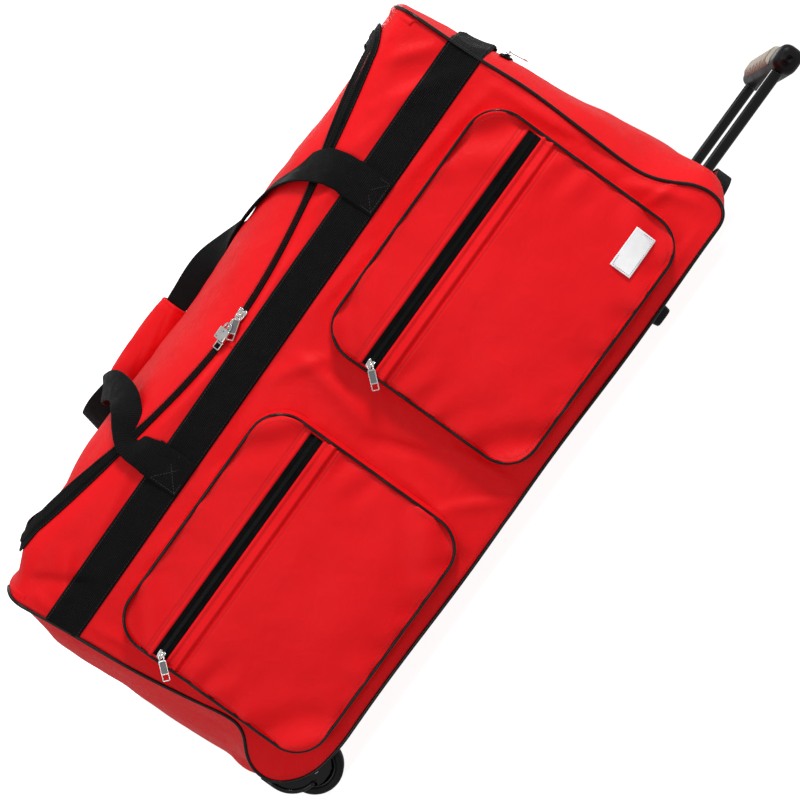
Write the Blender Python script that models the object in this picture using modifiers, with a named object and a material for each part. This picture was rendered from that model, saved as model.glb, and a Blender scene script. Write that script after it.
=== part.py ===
"""Rolling duffel bag: soft fabric shell on a stiff base, with a zipped lid flap, two front pockets,
webbing carry handles, a two-stage telescopic handle and a pair of inset wheels.

Metres, +Z up. The bag lies on its base: +X points to the telescopic handle, the pockets face -Y.
"""
import math

import bmesh
import bpy
from mathutils import Matrix, Vector

# ---------------------------------------------------------------- driving dimensions (metres)
HALF_LENGTH = 0.4235        # middle of the bag to the outer face of an end panel
HALF_DEPTH = 0.215          # middle of the bag to the outer face of the front panel
BASE_Z = 0.0275             # underside of the base panel
SIDE_TOP = 0.400            # height where the sides start to round over
CROWN_Z = 0.490             # top of the crowned lid
CORNER_R = 0.035            # rounded lower corners
FABRIC = 0.003              # lined and padded polyester
GAP = 0.0003                # between touching pieces
SEAM = 0.0045               # side panels stop this far inside the corded edge

BULGE_HANDLE_END = 0.034
BULGE_WHEEL_END = 0.020

ZIP_Y = 0.187               # centre line of the main chain
ZIP_X = 0.3825              # its two end runs
ZIP_OUT = 0.0087            # tape on the shell side, measured outwards from the chain
ZIP_IN = 0.0080             # and inwards
LID_TAPE = 0.0120
LID_HINGE_Y = 0.1957

BAND_LOW = 0.357
BAND_HIGH = 0.402
BAND_T = 0.0018

POCKET_DEPTH = 0.024
POCKET_LOW = 0.050
POCKET_HIGH = 0.328
POCKET_ZIP_Z = 0.262
POCKETS = {"wheel_side": (-0.375, -0.050), "handle_side": (0.044, 0.380)}

STRAP_W = 0.046
STRAP_T = 0.0024
STRAP_FEET = (-0.188, 0.213)
WRAP_X = (-0.150, -0.025)

WHEEL_R = 0.035
WHEEL_W = 0.024
WHEEL_X = -0.380
WHEEL_Y = 0.1925
AXLE_R = 0.004

TUBE_Y = 0.100
TUBE_Z = 0.067
GRIP_X = 0.632

RED = (0.76, 0.013, 0.018, 1.0)
BLACK = (0.012, 0.012, 0.013, 1.0)
NICKEL = (0.62, 0.61, 0.60, 1.0)


# ---------------------------------------------------------------- scene, materials, small tools
def clear_scene():
    for obj in list(bpy.data.objects):
        bpy.data.objects.remove(obj)


clear_scene()
PARTS = bpy.data.collections.new("rolling_duffel_bag")
CUTTERS = bpy.data.collections.new("cutters")
bpy.context.scene.collection.children.link(PARTS)
bpy.context.scene.collection.children.link(CUTTERS)


def material(name, colour, roughness, metallic=0.0):
    mat = bpy.data.materials.new(name)
    mat.use_nodes = True
    shader = mat.node_tree.nodes["Principled BSDF"]
    shader.inputs["Base Color"].default_value = colour
    shader.inputs["Roughness"].default_value = roughness
    shader.inputs["Metallic"].default_value = metallic
    return mat


RED_FABRIC = material("red_fabric", RED, 0.55)
BLACK_WEBBING = material("black_webbing", BLACK, 0.8)
BLACK_TAPE = material("black_tape", BLACK, 0.7)
PIPING = material("piping", BLACK, 0.4)
BLACK_PLASTIC = material("black_plastic", BLACK, 0.45)
GLOSS_BLACK = material("gloss_black_tube", BLACK, 0.2)
GREY_GRIP = material("grey_grip", (0.28, 0.27, 0.25, 1.0), 0.7)
NICKEL_METAL = material("nickel", NICKEL, 0.25, 1.0)
STEEL = material("steel", (0.5, 0.5, 0.5, 1.0), 0.35, 1.0)
TYRE = material("tyre", (0.015, 0.015, 0.015, 1.0), 0.85)
LABEL = material("label", (0.62, 0.62, 0.63, 1.0), 0.4)
BOARD = material("board", (0.02, 0.02, 0.02, 1.0), 0.6)


def finish(obj, mat, parent=None, cutter=False):
    """File an object in its collection with its material, and hang it on its parent."""
    obj.data.materials.clear()
    if mat is not None:
        obj.data.materials.append(mat)
    for owner in list(obj.users_collection):
        owner.objects.unlink(obj)
    (CUTTERS if cutter else PARTS).objects.link(obj)
    if cutter:
        obj.hide_render = True
        obj.display_type = "WIRE"
    if parent is not None:
        obj.parent = parent
        obj.matrix_parent_inverse = Matrix.Identity(4)
    return obj


def from_bmesh(name, bm, mat, frame=None, parent=None, cutter=False):
    mesh = bpy.data.meshes.new(name)
    bm.to_mesh(mesh)
    bm.free()
    obj = bpy.data.objects.new(name, mesh)
    finish(obj, mat, parent, cutter)
    if frame is not None:
        obj.matrix_local = frame
    return obj


def sheet(name, columns, rows, place, thickness, mat, side=-1.0, origin=None):
    """A grid laid on a surface by place(u, v), u and v from 0 to 1, and thickened to one side."""
    base = Vector(origin or (0, 0, 0))
    bm = bmesh.new()
    bmesh.ops.create_grid(bm, x_segments=columns, y_segments=rows, size=0.5)
    for vert in bm.verts:
        vert.co = Vector(place(vert.co.x + 0.5, vert.co.y + 0.5)) - base
    obj = from_bmesh(name, bm, mat, Matrix.Translation(base))
    solid = obj.modifiers.new("thickness", "SOLIDIFY")
    solid.thickness = thickness
    solid.offset = side
    solid.use_even_offset = True
    return obj


def box(name, low, high, mat, bevel=0.0, frame=None, cutter=False):
    """A box between two corners in its own frame, with rounded edges where a bevel is given."""
    low, high = Vector(low), Vector(high)
    bm = bmesh.new()
    bmesh.ops.create_cube(bm, size=1.0)
    for vert in bm.verts:
        vert.co = Vector(
            (low[i] + high[i]) / 2 + vert.co[i] * (high[i] - low[i]) for i in range(3)
        )
    obj = from_bmesh(name, bm, mat, frame, cutter=cutter)
    if bevel:
        edge = obj.modifiers.new("edges", "BEVEL")
        edge.width = bevel
        edge.segments = 2
        edge.limit_method = "ANGLE"
    return obj


def turned(name, profile, steps, mat, frame, cutter=False):
    """A closed profile of (radius, height) pairs turned round local Z."""
    bm = bmesh.new()
    verts = [bm.verts.new((r, 0, h)) for r, h in profile]
    for a, b in zip(verts, verts[1:] + verts[:1]):
        bm.edges.new((a, b))
    obj = from_bmesh(name, bm, mat, frame, cutter=cutter)
    screw = obj.modifiers.new("turn", "SCREW")
    screw.steps = steps
    screw.render_steps = steps
    screw.use_merge_vertices = True
    screw.merge_threshold = 0.00001
    return obj


def rod(name, radius, low, high, steps, mat, frame, cutter=False):
    """A solid round bar along local Z."""
    bm = bmesh.new()
    bmesh.ops.create_cone(
        bm, cap_ends=True, segments=steps, radius1=radius, radius2=radius, depth=high - low
    )
    bmesh.ops.translate(bm, verts=bm.verts, vec=(0, 0, (low + high) / 2))
    return from_bmesh(name, bm, mat, frame, cutter=cutter)


def cut(obj, cutter, operation="DIFFERENCE"):
    mod = obj.modifiers.new("cut", "BOOLEAN")
    mod.operation = operation
    mod.solver = "EXACT"
    mod.object = cutter
    return obj


def piping(name, points, radius, mat, cyclic=False, parent=None):
    """A round cord along the given points."""
    curve = bpy.data.curves.new(name, "CURVE")
    curve.dimensions = "3D"
    curve.bevel_depth = radius
    curve.bevel_resolution = 1
    curve.use_fill_caps = not cyclic
    curve.render_resolution_u = 0
    spline = curve.splines.new("POLY")
    spline.points.add(len(points) - 1)
    for target, p in zip(spline.points, points):
        target.co = (p[0], p[1], p[2], 1.0)
    spline.use_cyclic_u = cyclic
    obj = bpy.data.objects.new(name, curve)
    finish(obj, mat, parent)
    return obj


def outline_prism(name, points, thickness, mat, frame, parent=None, holes=()):
    """A flat outline in local XY, thickened evenly to both sides of the plane."""
    curve = bpy.data.curves.new(name, "CURVE")
    curve.dimensions = "2D"
    curve.fill_mode = "BOTH"
    curve.extrude = thickness / 2
    for loop in (points, *holes):
        spline = curve.splines.new("POLY")
        spline.points.add(len(loop) - 1)
        for target, p in zip(spline.points, loop):
            target.co = (p[0], p[1], 0.0, 1.0)
        spline.use_cyclic_u = True
    obj = bpy.data.objects.new(name, curve)
    finish(obj, mat, parent)
    obj.matrix_local = frame
    return obj


def curve_to_mesh(obj, weld=0.00002):
    """The same object as a welded mesh, so that a Boolean can use it."""
    bpy.context.view_layer.update()
    graph = bpy.context.evaluated_depsgraph_get()
    mesh = bpy.data.meshes.new_from_object(obj.evaluated_get(graph))
    bm = bmesh.new()
    bm.from_mesh(mesh)
    bmesh.ops.remove_doubles(bm, verts=bm.verts, dist=weld)
    bmesh.ops.recalc_face_normals(bm, faces=bm.faces)
    bm.to_mesh(mesh)
    bm.free()
    name, mat = obj.name, obj.active_material
    owner = obj.users_collection[0]
    frame = obj.matrix_local.copy()
    bpy.data.objects.remove(obj)
    solid = bpy.data.objects.new(name, mesh)
    finish(solid, mat, cutter=owner is CUTTERS)
    solid.matrix_local = frame
    return solid


def round_rect(low, high, radius, steps=4):
    """Points round a rectangle with rounded corners, anticlockwise."""
    (x0, y0), (x1, y1) = low, high
    corners = [(x1 - radius, y1 - radius, 0), (x0 + radius, y1 - radius, 90),
               (x0 + radius, y0 + radius, 180), (x1 - radius, y0 + radius, 270)]
    points = []
    for cx, cy, start in corners:
        for k in range(steps + 1):
            a = math.radians(start + 90 * k / steps)
            points.append((cx + radius * math.cos(a), cy + radius * math.sin(a)))
    return points


def smooth_path(stations, count):
    """Points spread along a Catmull-Rom curve through the stations."""
    pts = [Vector(s) for s in stations]
    pts = [2 * pts[0] - pts[1]] + pts + [2 * pts[-1] - pts[-2]]
    out = []
    spans = len(pts) - 3
    for k in range(count):
        t = k / (count - 1) * spans
        i = min(int(t), spans - 1)
        f = t - i
        p0, p1, p2, p3 = pts[i:i + 4]
        out.append(0.5 * (2 * p1 + (p2 - p0) * f + (2 * p0 - 5 * p1 + 4 * p2 - p3) * f ** 2
                          + (3 * p1 - p0 - 3 * p2 + p3) * f ** 3))
    return out


# ---------------------------------------------------------------- the bag's outer surface
def top_z(y):
    """Height of the outer surface over the rounded shoulder and the crown."""
    reach = min(abs(y) / HALF_DEPTH, 1.0)
    return SIDE_TOP + (CROWN_Z - SIDE_TOP) * (1 - reach ** 2.6) ** 0.62


def corner_inset(z):
    """How far the rounded lower corner pulls an end in at this height."""
    drop = BASE_Z + CORNER_R - z
    if drop <= 0:
        return 0.0
    return CORNER_R - math.sqrt(max(CORNER_R ** 2 - drop ** 2, 0.0))


def bulge(y, z, end):
    """How far an end panel stands out beyond its edges."""
    span = max(0.0, 1 - (y / 0.2105) ** 2)
    level = min(max((z - BASE_Z) / (CROWN_Z - BASE_Z), 0.0), 1.0)
    if end > 0:
        return BULGE_HANDLE_END * span * (1 - 0.75 * level ** 1.2) * min(1.0, (z - BASE_Z) / 0.03)
    return BULGE_WHEEL_END * span * math.sin(math.pi * level ** 0.8)


def end_point(y, z, end, lift=0.0):
    """A point on the outside of an end panel, lifted off it by a little."""
    x = HALF_LENGTH - corner_inset(z) + bulge(y, z, end) + lift
    return (end * x, y, z)


def spaced(values):
    """Turn an evenly spaced 0..1 into uneven stops."""
    def pick(t):
        i = round(t * (len(values) - 1))
        return values[i]
    return pick


ARC = [BASE_Z + 0.0005 + CORNER_R * (1 - math.cos(math.radians(a))) for a in (0, 25, 50, 70, 90)]


# ---------------------------------------------------------------- shell panels
def side_panel(name, facing):
    """Front or back panel: upright, then over the shoulder to the main zip."""
    low, radius = BASE_Z + SEAM, CORNER_R - SEAM
    heights = [low + radius * (1 - math.cos(math.radians(a))) for a in (0, 25, 50, 70, 90)]
    heights.append(SIDE_TOP)
    shoulder = [0.2135, 0.2100, 0.2045, 0.1962]
    stops = [(HALF_DEPTH, z) for z in heights] + [(y, top_z(y)) for y in shoulder]
    pick = spaced(stops)

    def place(u, v):
        y, z = pick(v)
        drop = max(low + radius - z, 0.0)
        half = HALF_LENGTH - SEAM - radius + math.sqrt(radius ** 2 - min(drop, radius) ** 2)
        if z > SIDE_TOP:
            half = ZIP_X + ZIP_OUT
        return ((2 * u - 1) * half, facing * y, z)

    return sheet(name, 1, len(stops) - 1, place, FABRIC, RED_FABRIC, side=1.0 * facing)


def end_panel(name, end):
    """Bulging end panel that turns under into the base and over the roof to the main zip."""
    levels = [0.0, 0.06, 0.12, 0.2, 0.45, 0.75, 1.0]
    across = [-0.2105, -0.204, -0.190, -0.150, -0.075, 0.0, 0.075, 0.150, 0.190, 0.204, 0.2105]
    pick_y = spaced(across)
    rows = ARC[:-1] + [BASE_Z + CORNER_R]
    count = len(rows) + len(levels)
    pick_row = spaced(list(range(count)))

    def place(u, v):
        y = pick_y(u)
        k = pick_row(v)
        if k == count - 1:
            return (end * (ZIP_X + ZIP_OUT + GAP), y, top_z(y))
        if k < len(rows):
            z = rows[k]
        else:
            low, high = rows[-1], top_z(y) - 0.0006
            z = low + (high - low) * levels[k - len(rows) + 1]
        return end_point(y, z, end)

    return sheet(name, len(across) - 1, count - 1, place, FABRIC, RED_FABRIC, side=-1.0 * end)


def base_panel():
    box("base_panel", (-0.3875, -0.2105, BASE_Z), (0.3875, 0.2105, BASE_Z + FABRIC), RED_FABRIC)
    return bpy.data.objects["base_panel"]


def lid_panel():
    """Crowned flap between the zip's lid tape and its fold along the back."""
    across = [-0.1664, -0.140, -0.105, -0.055, 0.0, 0.055, 0.105, 0.150, 0.178, 0.1954]
    pick = spaced(across)
    half = ZIP_X - ZIP_IN - GAP - LID_TAPE - GAP

    def place(u, v):
        y = pick(v)
        return ((2 * u - 1) * half, y, top_z(y))

    return sheet("lid_panel", 1, len(across) - 1, place, FABRIC, RED_FABRIC, side=-1.0,
                 origin=(0, LID_HINGE_Y, top_z(LID_HINGE_Y)))


def zip_tape(name, low, high, thickness, origin=None):
    """U-shaped tape: along the front and back over both ends; low and high are the distances
    inwards from the chain's centre line."""
    run = [0.1954, 0.175, 0.140, 0.090, 0.030, -0.030, -0.090, -0.140, -0.172]
    count = 2 * (len(run) + 1)

    def place(u, v):
        k = round(v * (count - 1))
        inset = low + (high - low) * u
        mirror = -1 if k < count // 2 else 1
        j = k if k < count // 2 else count - 1 - k
        x = mirror * (ZIP_X - inset)
        y = run[j] if j < len(run) else -(ZIP_Y - inset)
        return (x, y, top_z(y))

    return sheet(name, 1, count - 1, place, thickness, BLACK_TAPE, side=1.0, origin=origin)


def edge_points(facing):
    """Stops along one end edge, the bottom edge and the other end edge of a side panel."""
    points = []
    reach = HALF_LENGTH + 0.0005
    arc = [(a, reach - CORNER_R, BASE_Z - 0.0005 + CORNER_R) for a in (0, 22, 45, 67, 90)]
    y = facing * (HALF_DEPTH - 0.0005)
    points.append((reach, y, SIDE_TOP + 0.004))
    for a, cx, cz in arc:
        t = math.radians(a)
        points.append((cx + CORNER_R * math.cos(t), y, cz - CORNER_R * math.sin(t)))
    points += [(-x, py, z) for x, py, z in reversed(points)]
    return points


def shell():
    side_panel("front_panel", -1)
    side_panel("back_panel", 1)
    wheel_end = end_panel("wheel_end_panel", -1)
    handle_end = end_panel("handle_end_panel", 1)
    base = base_panel()
    for facing, tag in ((-1, "front"), (1, "back")):
        ys = sorted((facing * 0.2125, facing * 0.1705))
        well = box("well_cut_" + tag, (-0.5, ys[0], -0.01), (-0.3342, ys[1], 0.0795), None,
                   cutter=True)
        cut(wheel_end, well)
        cut(base, well)
    mouth = box("mouth_cut", (0.39, -0.1224, 0.0530), (0.50, 0.1224, 0.0810), None, cutter=True)
    cut(handle_end, mouth)
    lid_panel()
    zip_tape("main_zip_shell_tape", -ZIP_OUT, ZIP_IN, 0.0022)
    zip_tape("main_zip_lid_tape", ZIP_IN + GAP, ZIP_IN + GAP + LID_TAPE, 0.0018,
             origin=(0, LID_HINGE_Y, top_z(LID_HINGE_Y)))
    piping("front_piping", edge_points(-1), 0.0024, PIPING)
    piping("back_piping", edge_points(1), 0.0024, PIPING)
    box("base_board", (-0.330, -0.205, 0.0309), (0.380, 0.205, 0.0331), BOARD)


# ---------------------------------------------------------------- webbing bands
def bands():
    for facing, name in ((-1, "front_band"), (1, "back_band")):
        ys = sorted((facing * (HALF_DEPTH + GAP), facing * (HALF_DEPTH + GAP + BAND_T)))
        box(name, (-0.418, ys[0], BAND_LOW), (0.418, ys[1], BAND_HIGH - 0.003), BLACK_WEBBING)
    across = [-0.206, -0.190, -0.150, -0.075, 0.0, 0.075, 0.150, 0.190, 0.206]
    pick = spaced(across)

    def place(u, v):
        y = pick(u)
        z = BAND_LOW + v * (BAND_HIGH - 0.003 - BAND_LOW)
        return end_point(y, z, 1, lift=0.0012)
    sheet("handle_end_band", len(across) - 1, 2, place, BAND_T, BLACK_WEBBING, side=1.0)


# ---------------------------------------------------------------- pockets
def pocket(tag):
    """Box pocket with an open back against the front panel, corded edge and a zip near its top."""
    x0, x1 = POCKETS[tag]
    back = -(HALF_DEPTH + GAP)
    front = back - POCKET_DEPTH
    middle = (back + front) / 2
    upright = Matrix.Rotation(math.radians(90), 4, "X")
    outline = round_rect((x0, POCKET_LOW), (x1, POCKET_HIGH), 0.040)
    shell_curve = outline_prism("pocket_" + tag, outline, POCKET_DEPTH, RED_FABRIC,
                                Matrix.Translation((0, middle, 0)) @ upright)
    body = curve_to_mesh(shell_curve)
    hollow = round_rect((x0 + FABRIC, POCKET_LOW + FABRIC), (x1 - FABRIC, POCKET_HIGH - FABRIC),
                        0.037)
    inner = outline_prism("pocket_hollow_" + tag, hollow, POCKET_DEPTH, None,
                          Matrix.Translation((0, middle + FABRIC, 0)) @ upright)
    inner = curve_to_mesh(inner)
    finish(inner, None, cutter=True)
    cut(body, inner)
    edge = round_rect((x0 - 0.0023, POCKET_LOW - 0.0023), (x1 + 0.0023, POCKET_HIGH + 0.0023),
                      0.0423)
    piping("pocket_piping_" + tag, [(x, front + 0.0022, z) for x, z in edge], 0.0019, PIPING,
           cyclic=True)
    box("pocket_zip_tape_" + tag, (x0 + 0.004, front - GAP - 0.0014, POCKET_ZIP_Z - 0.007),
        (x1 - 0.004, front - GAP, POCKET_ZIP_Z + 0.007), BLACK_TAPE)
    return front - GAP - 0.0014


def label():
    """Blank sewn label in the upper corner of the pocket near the telescopic handle."""
    front = -(HALF_DEPTH + GAP) - POCKET_DEPTH
    box("blank_label", (0.306, front - GAP - 0.0008, 0.0775), (0.359, front - GAP, 0.1055), LABEL)


def end_zip():
    """Zip across the handle end, which closes a pocket hanging inside the panel."""
    across = [-0.165, -0.120, -0.060, 0.0, 0.060, 0.120, 0.165]
    pick = spaced(across)

    def tape(u, v):
        return end_point(pick(u), 0.3370 + v * 0.014, 1, lift=0.0016)

    sheet("end_pocket_zip_tape", len(across) - 1, 1, tape, 0.0012, BLACK_TAPE, side=1.0)


# ---------------------------------------------------------------- zip sliders and pull tabs
def slider(name, frame, width=0.0080, length=0.0125):
    """Slider plate with a bridge on top. Local X runs along the chain, Z points off the fabric."""
    body = box(name, (-length / 2, -width / 2, GAP), (length / 2, width / 2, 0.0019),
               NICKEL_METAL, bevel=0.0006, frame=frame)
    arch = [(0.0020 * math.cos(math.radians(a)), 0, 0.0014 + 0.0033 * math.sin(math.radians(a)))
            for a in range(0, 181, 30)]
    bridge = piping("bridge_of_" + name, arch, 0.00060, None)
    bridge.data.bevel_resolution = 0
    bridge.matrix_local = frame
    bridge = curve_to_mesh(bridge)
    finish(bridge, None, cutter=True)
    cut(body, bridge, "UNION")
    return body


def pull_tab(name, frame, turn, length=0.033, width=0.0090):
    """Flat tab with an eye round the slider's bridge and a window at its free end."""
    eye = round_rect((-0.0032, 0.0005), (0.0032, 0.0064), 0.0012, steps=2)
    window = round_rect((-0.0021, length - 0.0105), (0.0021, length - 0.0025), 0.0004, steps=1)
    outline = round_rect((-width / 2, -0.0005), (width / 2, length), 0.0018, steps=2)
    spin = Matrix.Rotation(turn, 4, "Z")
    lift = Matrix.Translation((0, 0, 0.0030))
    tab = outline_prism(name, outline, 0.0012, NICKEL_METAL, frame @ lift @ spin,
                        holes=(eye, window))
    return curve_to_mesh(tab)


def frame_at(x, y, z, along, outward):
    """A frame with local X along the chain and local Z pointing outward."""
    e1 = Vector(along).normalized()
    e3 = Vector(outward).normalized()
    e2 = e3.cross(e1)
    rot = Matrix((e1, e2, e3)).transposed().to_4x4()
    return Matrix.Translation((x, y, z)) @ rot


def top_normal(y):
    slope = (top_z(y + 0.0005) - top_z(y - 0.0005)) / 0.001
    return Vector((0, -slope, 1)).normalized()


def fastenings(pocket_face):
    for tag in POCKETS:
        x0 = POCKETS[tag][0]
        at = frame_at(x0 + 0.0125, pocket_face, POCKET_ZIP_Z, (1, 0, 0), (0, -1, 0))
        slider("pocket_slider_" + tag, at)
        pull_tab("pocket_pull_" + tag, at, math.radians(132))
    y, z = -0.080, 0.3440
    nose = end_point(y, z, 1, lift=0.0028)
    ahead = Vector(end_point(y + 0.005, z, 1)) - Vector(end_point(y - 0.005, z, 1))
    out = ahead.cross(Vector((0, 0, 1)))
    at = frame_at(*(Vector(nose) + out.normalized() * 0.0004), ahead, out)
    slider("end_pocket_slider", at)
    pull_tab("end_pocket_pull", at, math.radians(132))
    normal = top_normal(-ZIP_Y)
    for name, x, turn in (("main_slider_a", 0.0098, 125), ("main_slider_b", -0.0098, 92)):
        at = frame_at(x, -ZIP_Y, top_z(-ZIP_Y), (1, 0, 0), normal)
        slider(name, at, width=0.0110, length=0.0160)
        pull_tab(name.replace("slider", "pull"), at, math.radians(turn), length=0.035)
    at = frame_at(-0.0330, -ZIP_Y, top_z(-ZIP_Y), (1, 0, 0), normal)
    padlock(at)


def padlock(frame):
    """Small flat lock lying over one pull tab, with its shackle towards the sliders."""
    box("padlock_body", (-0.0070, -0.0072, 0.0042), (0.0075, 0.0072, 0.0092), NICKEL_METAL,
        bevel=0.0008, frame=frame)
    arch = [(0.0078, -0.0044, 0.0067)]
    arch += [(0.0125 + 0.0044 * math.sin(math.radians(a)), -0.0044 * math.cos(math.radians(a)),
              0.0067) for a in range(0, 181, 30)]
    arch += [(0.0078, 0.0044, 0.0067)]
    bow = piping("padlock_shackle", arch, 0.0011, STEEL)
    bow.matrix_local = frame


# ---------------------------------------------------------------- carry handles
def strap(name, facing):
    """Webbing loop: up from the band's top edge, over the zip, gathered on edge under the wrap."""
    y = facing
    x_left, x_right = STRAP_FEET
    out = HALF_DEPTH + GAP + BAND_T + GAP + STRAP_T / 2 + 0.0002
    crest = CROWN_Z + 0.0155
    stations = [
        (x_left, y * out, 0.4020), (x_left + 0.001, y * (out - 0.003), 0.4200),
        (x_left + 0.004, y * 0.2040, 0.4430), (x_left + 0.014, y * 0.1600, 0.4800),
        (x_left + 0.002, y * 0.0750, crest - 0.002), (-0.172, y * 0.0150, crest + 0.002),
        (-0.148, y * 0.0052, crest + 0.003), (-0.085, y * 0.0055, crest + 0.003),
        (-0.035, y * 0.0055, crest + 0.003), (0.010, y * 0.0150, crest + 0.002),
        (0.090, y * 0.0600, crest), (0.165, y * 0.1130, crest - 0.006),
        (x_right - 0.008, y * 0.1640, 0.4780), (x_right, y * 0.2040, 0.4430),
        (x_right, y * (out - 0.003), 0.4200), (x_right, y * out, 0.4020),
    ]
    path = smooth_path(stations, 35)

    def lean(t):
        """0 where the strap lies flat, 1 where it is gathered on edge."""
        centre = (t - 0.47) / 0.20
        return max(0.0, 1 - centre ** 2) ** 0.5 if abs(centre) < 1 else 0.0

    def place(u, v):
        k = round(v * 34)
        here = path[k]
        ahead = path[min(k + 1, 34)] - path[max(k - 1, 0)]
        ahead.normalize()
        t = k / 34
        flat = Vector((1, 0, 0)) - ahead * ahead.x
        if flat.length < 0.5:
            flat = Vector((0, 0, 1)).cross(ahead)
        if 0.15 < t < 0.85:
            flat = Vector((0, 0, 1)).cross(ahead)
            if t < 0.47:
                flat = flat * (1 if flat.x > 0 or flat.y * y < 0 else -1)
        side = ahead.cross(Vector((0, 0, 1)))
        if t < 0.25:
            side = Vector((1, 0, 0)) - ahead * ahead.x
        elif t > 0.75:
            side = Vector((-1, 0, 0)) + ahead * ahead.x
        side.normalize()
        up = side.cross(ahead)
        turn = lean(t) * math.pi / 2
        if up.z < 0:
            up = -up
        width = STRAP_W * (1 - 0.56 * lean(t))
        direction = side * math.cos(turn) * (-y) + up * math.sin(turn)
        direction.normalize()
        return here + direction * (u - 0.5) * width

    origin = (0.0125, y * out, 0.4020)
    return sheet(name, 1, 34, place, STRAP_T, BLACK_WEBBING, side=0.0, origin=origin)


def handle_wrap():
    """Red padded sleeve round both straps, open to the back so that the rear strap can leave."""
    centre_z = CROWN_Z + 0.0185
    stops = list(range(40, 321, 28))
    pick = spaced(stops)

    def place(u, v):
        a = math.radians(pick(v))
        x = WRAP_X[0] + u * (WRAP_X[1] - WRAP_X[0])
        return (x, 0.0145 * math.cos(a), centre_z + 0.0160 * math.sin(a))

    out = HALF_DEPTH + GAP + BAND_T
    return sheet("handle_wrap", 1, len(stops) - 1, place, 0.0022, RED_FABRIC, side=-1.0,
                 origin=(0.0125, -out, 0.4020))


def grab_handle():
    """Short webbing loop across the handle end, below the telescope's mouth frame."""
    half = [(0.4490, 0.086), (0.4560, 0.081), (0.4680, 0.069), (0.4810, 0.050), (0.4900, 0.025)]
    stations = [(x, -y, 0.040) for x, y in half] + [(0.4930, 0.0, 0.040)]
    stations += [(x, y, 0.040) for x, y in reversed(half)]
    path = smooth_path(stations, 17)

    def place(u, v):
        here = path[round(v * 16)]
        return (here.x, here.y, 0.0285 + u * 0.0200)

    sheet("grab_handle", 1, 16, place, 0.0026, BLACK_WEBBING, side=0.0)


# ---------------------------------------------------------------- telescopic handle
def along_x(x, y, z):
    return Matrix.Translation((x, y, z)) @ Matrix.Rotation(math.radians(90), 4, "Y")


def tube(name, outer, inner, low, high, y, mat, steps=20):
    """A tube along X from low to high."""
    profile = [(outer, high - low), (outer, 0.0), (inner, 0.0), (inner, high - low)]
    return turned(name, profile, steps, mat, along_x(low, y, TUBE_Z))


def telescope():
    for y, tag in ((-TUBE_Y, "front"), (TUBE_Y, "back")):
        tube("outer_tube_" + tag, 0.0100, 0.0089, -0.050, 0.4190, y, GLOSS_BLACK)
        tube("middle_tube_" + tag, 0.0085, 0.0076, 0.185, 0.4680, y, GLOSS_BLACK)
        tube("inner_tube_" + tag, 0.0072, 0.0060, 0.215, GRIP_X - 0.0145, y, GLOSS_BLACK)
    frame = Matrix.Translation((0.4495, 0, 0)) @ Matrix.Rotation(math.radians(90), 4, "Z") \
        @ Matrix.Rotation(math.radians(90), 4, "X")
    holes = []
    for y in (-TUBE_Y, TUBE_Y):
        holes.append([(y + 0.0089 * math.cos(k * math.pi / 10),
                       TUBE_Z + 0.0089 * math.sin(k * math.pi / 10)) for k in range(20)])
    outline = round_rect((-0.1220, 0.0534), (0.1220, 0.0806), 0.010, steps=3)
    mouth = outline_prism("telescope_mouth", outline, 0.0345, BLACK_PLASTIC, frame, holes=holes)
    curve_to_mesh(mouth)
    cover = box("telescope_cover", (-0.078, -0.1360, 0.0334), (0.4000, 0.1360, 0.0850), BOARD)
    cavity = box("cover_hollow", (-0.0755, -0.1335, 0.0200), (0.4500, 0.1335, 0.0825), None,
                 cutter=True)
    cut(cover, cavity)
    grip()


def grip():
    """Cross grip: rounded bar with the tube sockets, ribbed insert and a release button."""
    low = GRIP_X - 0.014
    bar = box("grip_body", (low, -0.124, TUBE_Z - 0.017), (GRIP_X + 0.022, 0.124, TUBE_Z + 0.017),
              BLACK_PLASTIC, bevel=0.0075)
    bar.modifiers["edges"].segments = 3
    slot = box("button_slot", (GRIP_X + 0.012, -0.0155, TUBE_Z - 0.0065),
               (GRIP_X + 0.030, 0.0155, TUBE_Z + 0.0065), None, cutter=True)
    cut(bar, slot)
    seat = box("insert_seat", (GRIP_X - 0.0080, -0.0850, TUBE_Z + 0.0125),
               (GRIP_X + 0.0140, 0.0850, TUBE_Z + 0.030), None, cutter=True)
    cut(bar, seat)
    box("grip_insert", (GRIP_X - 0.0077, -0.0847, TUBE_Z + 0.0128),
        (GRIP_X + 0.0137, 0.0847, TUBE_Z + 0.0180), GREY_GRIP, bevel=0.0012)
    frame = Matrix.Translation((GRIP_X + 0.0190, 0, TUBE_Z))
    box("release_button", (-0.0025, -0.0150, -0.0060), (0.0042, 0.0150, 0.0060), BLACK_PLASTIC,
        bevel=0.0012, frame=frame)


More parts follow.
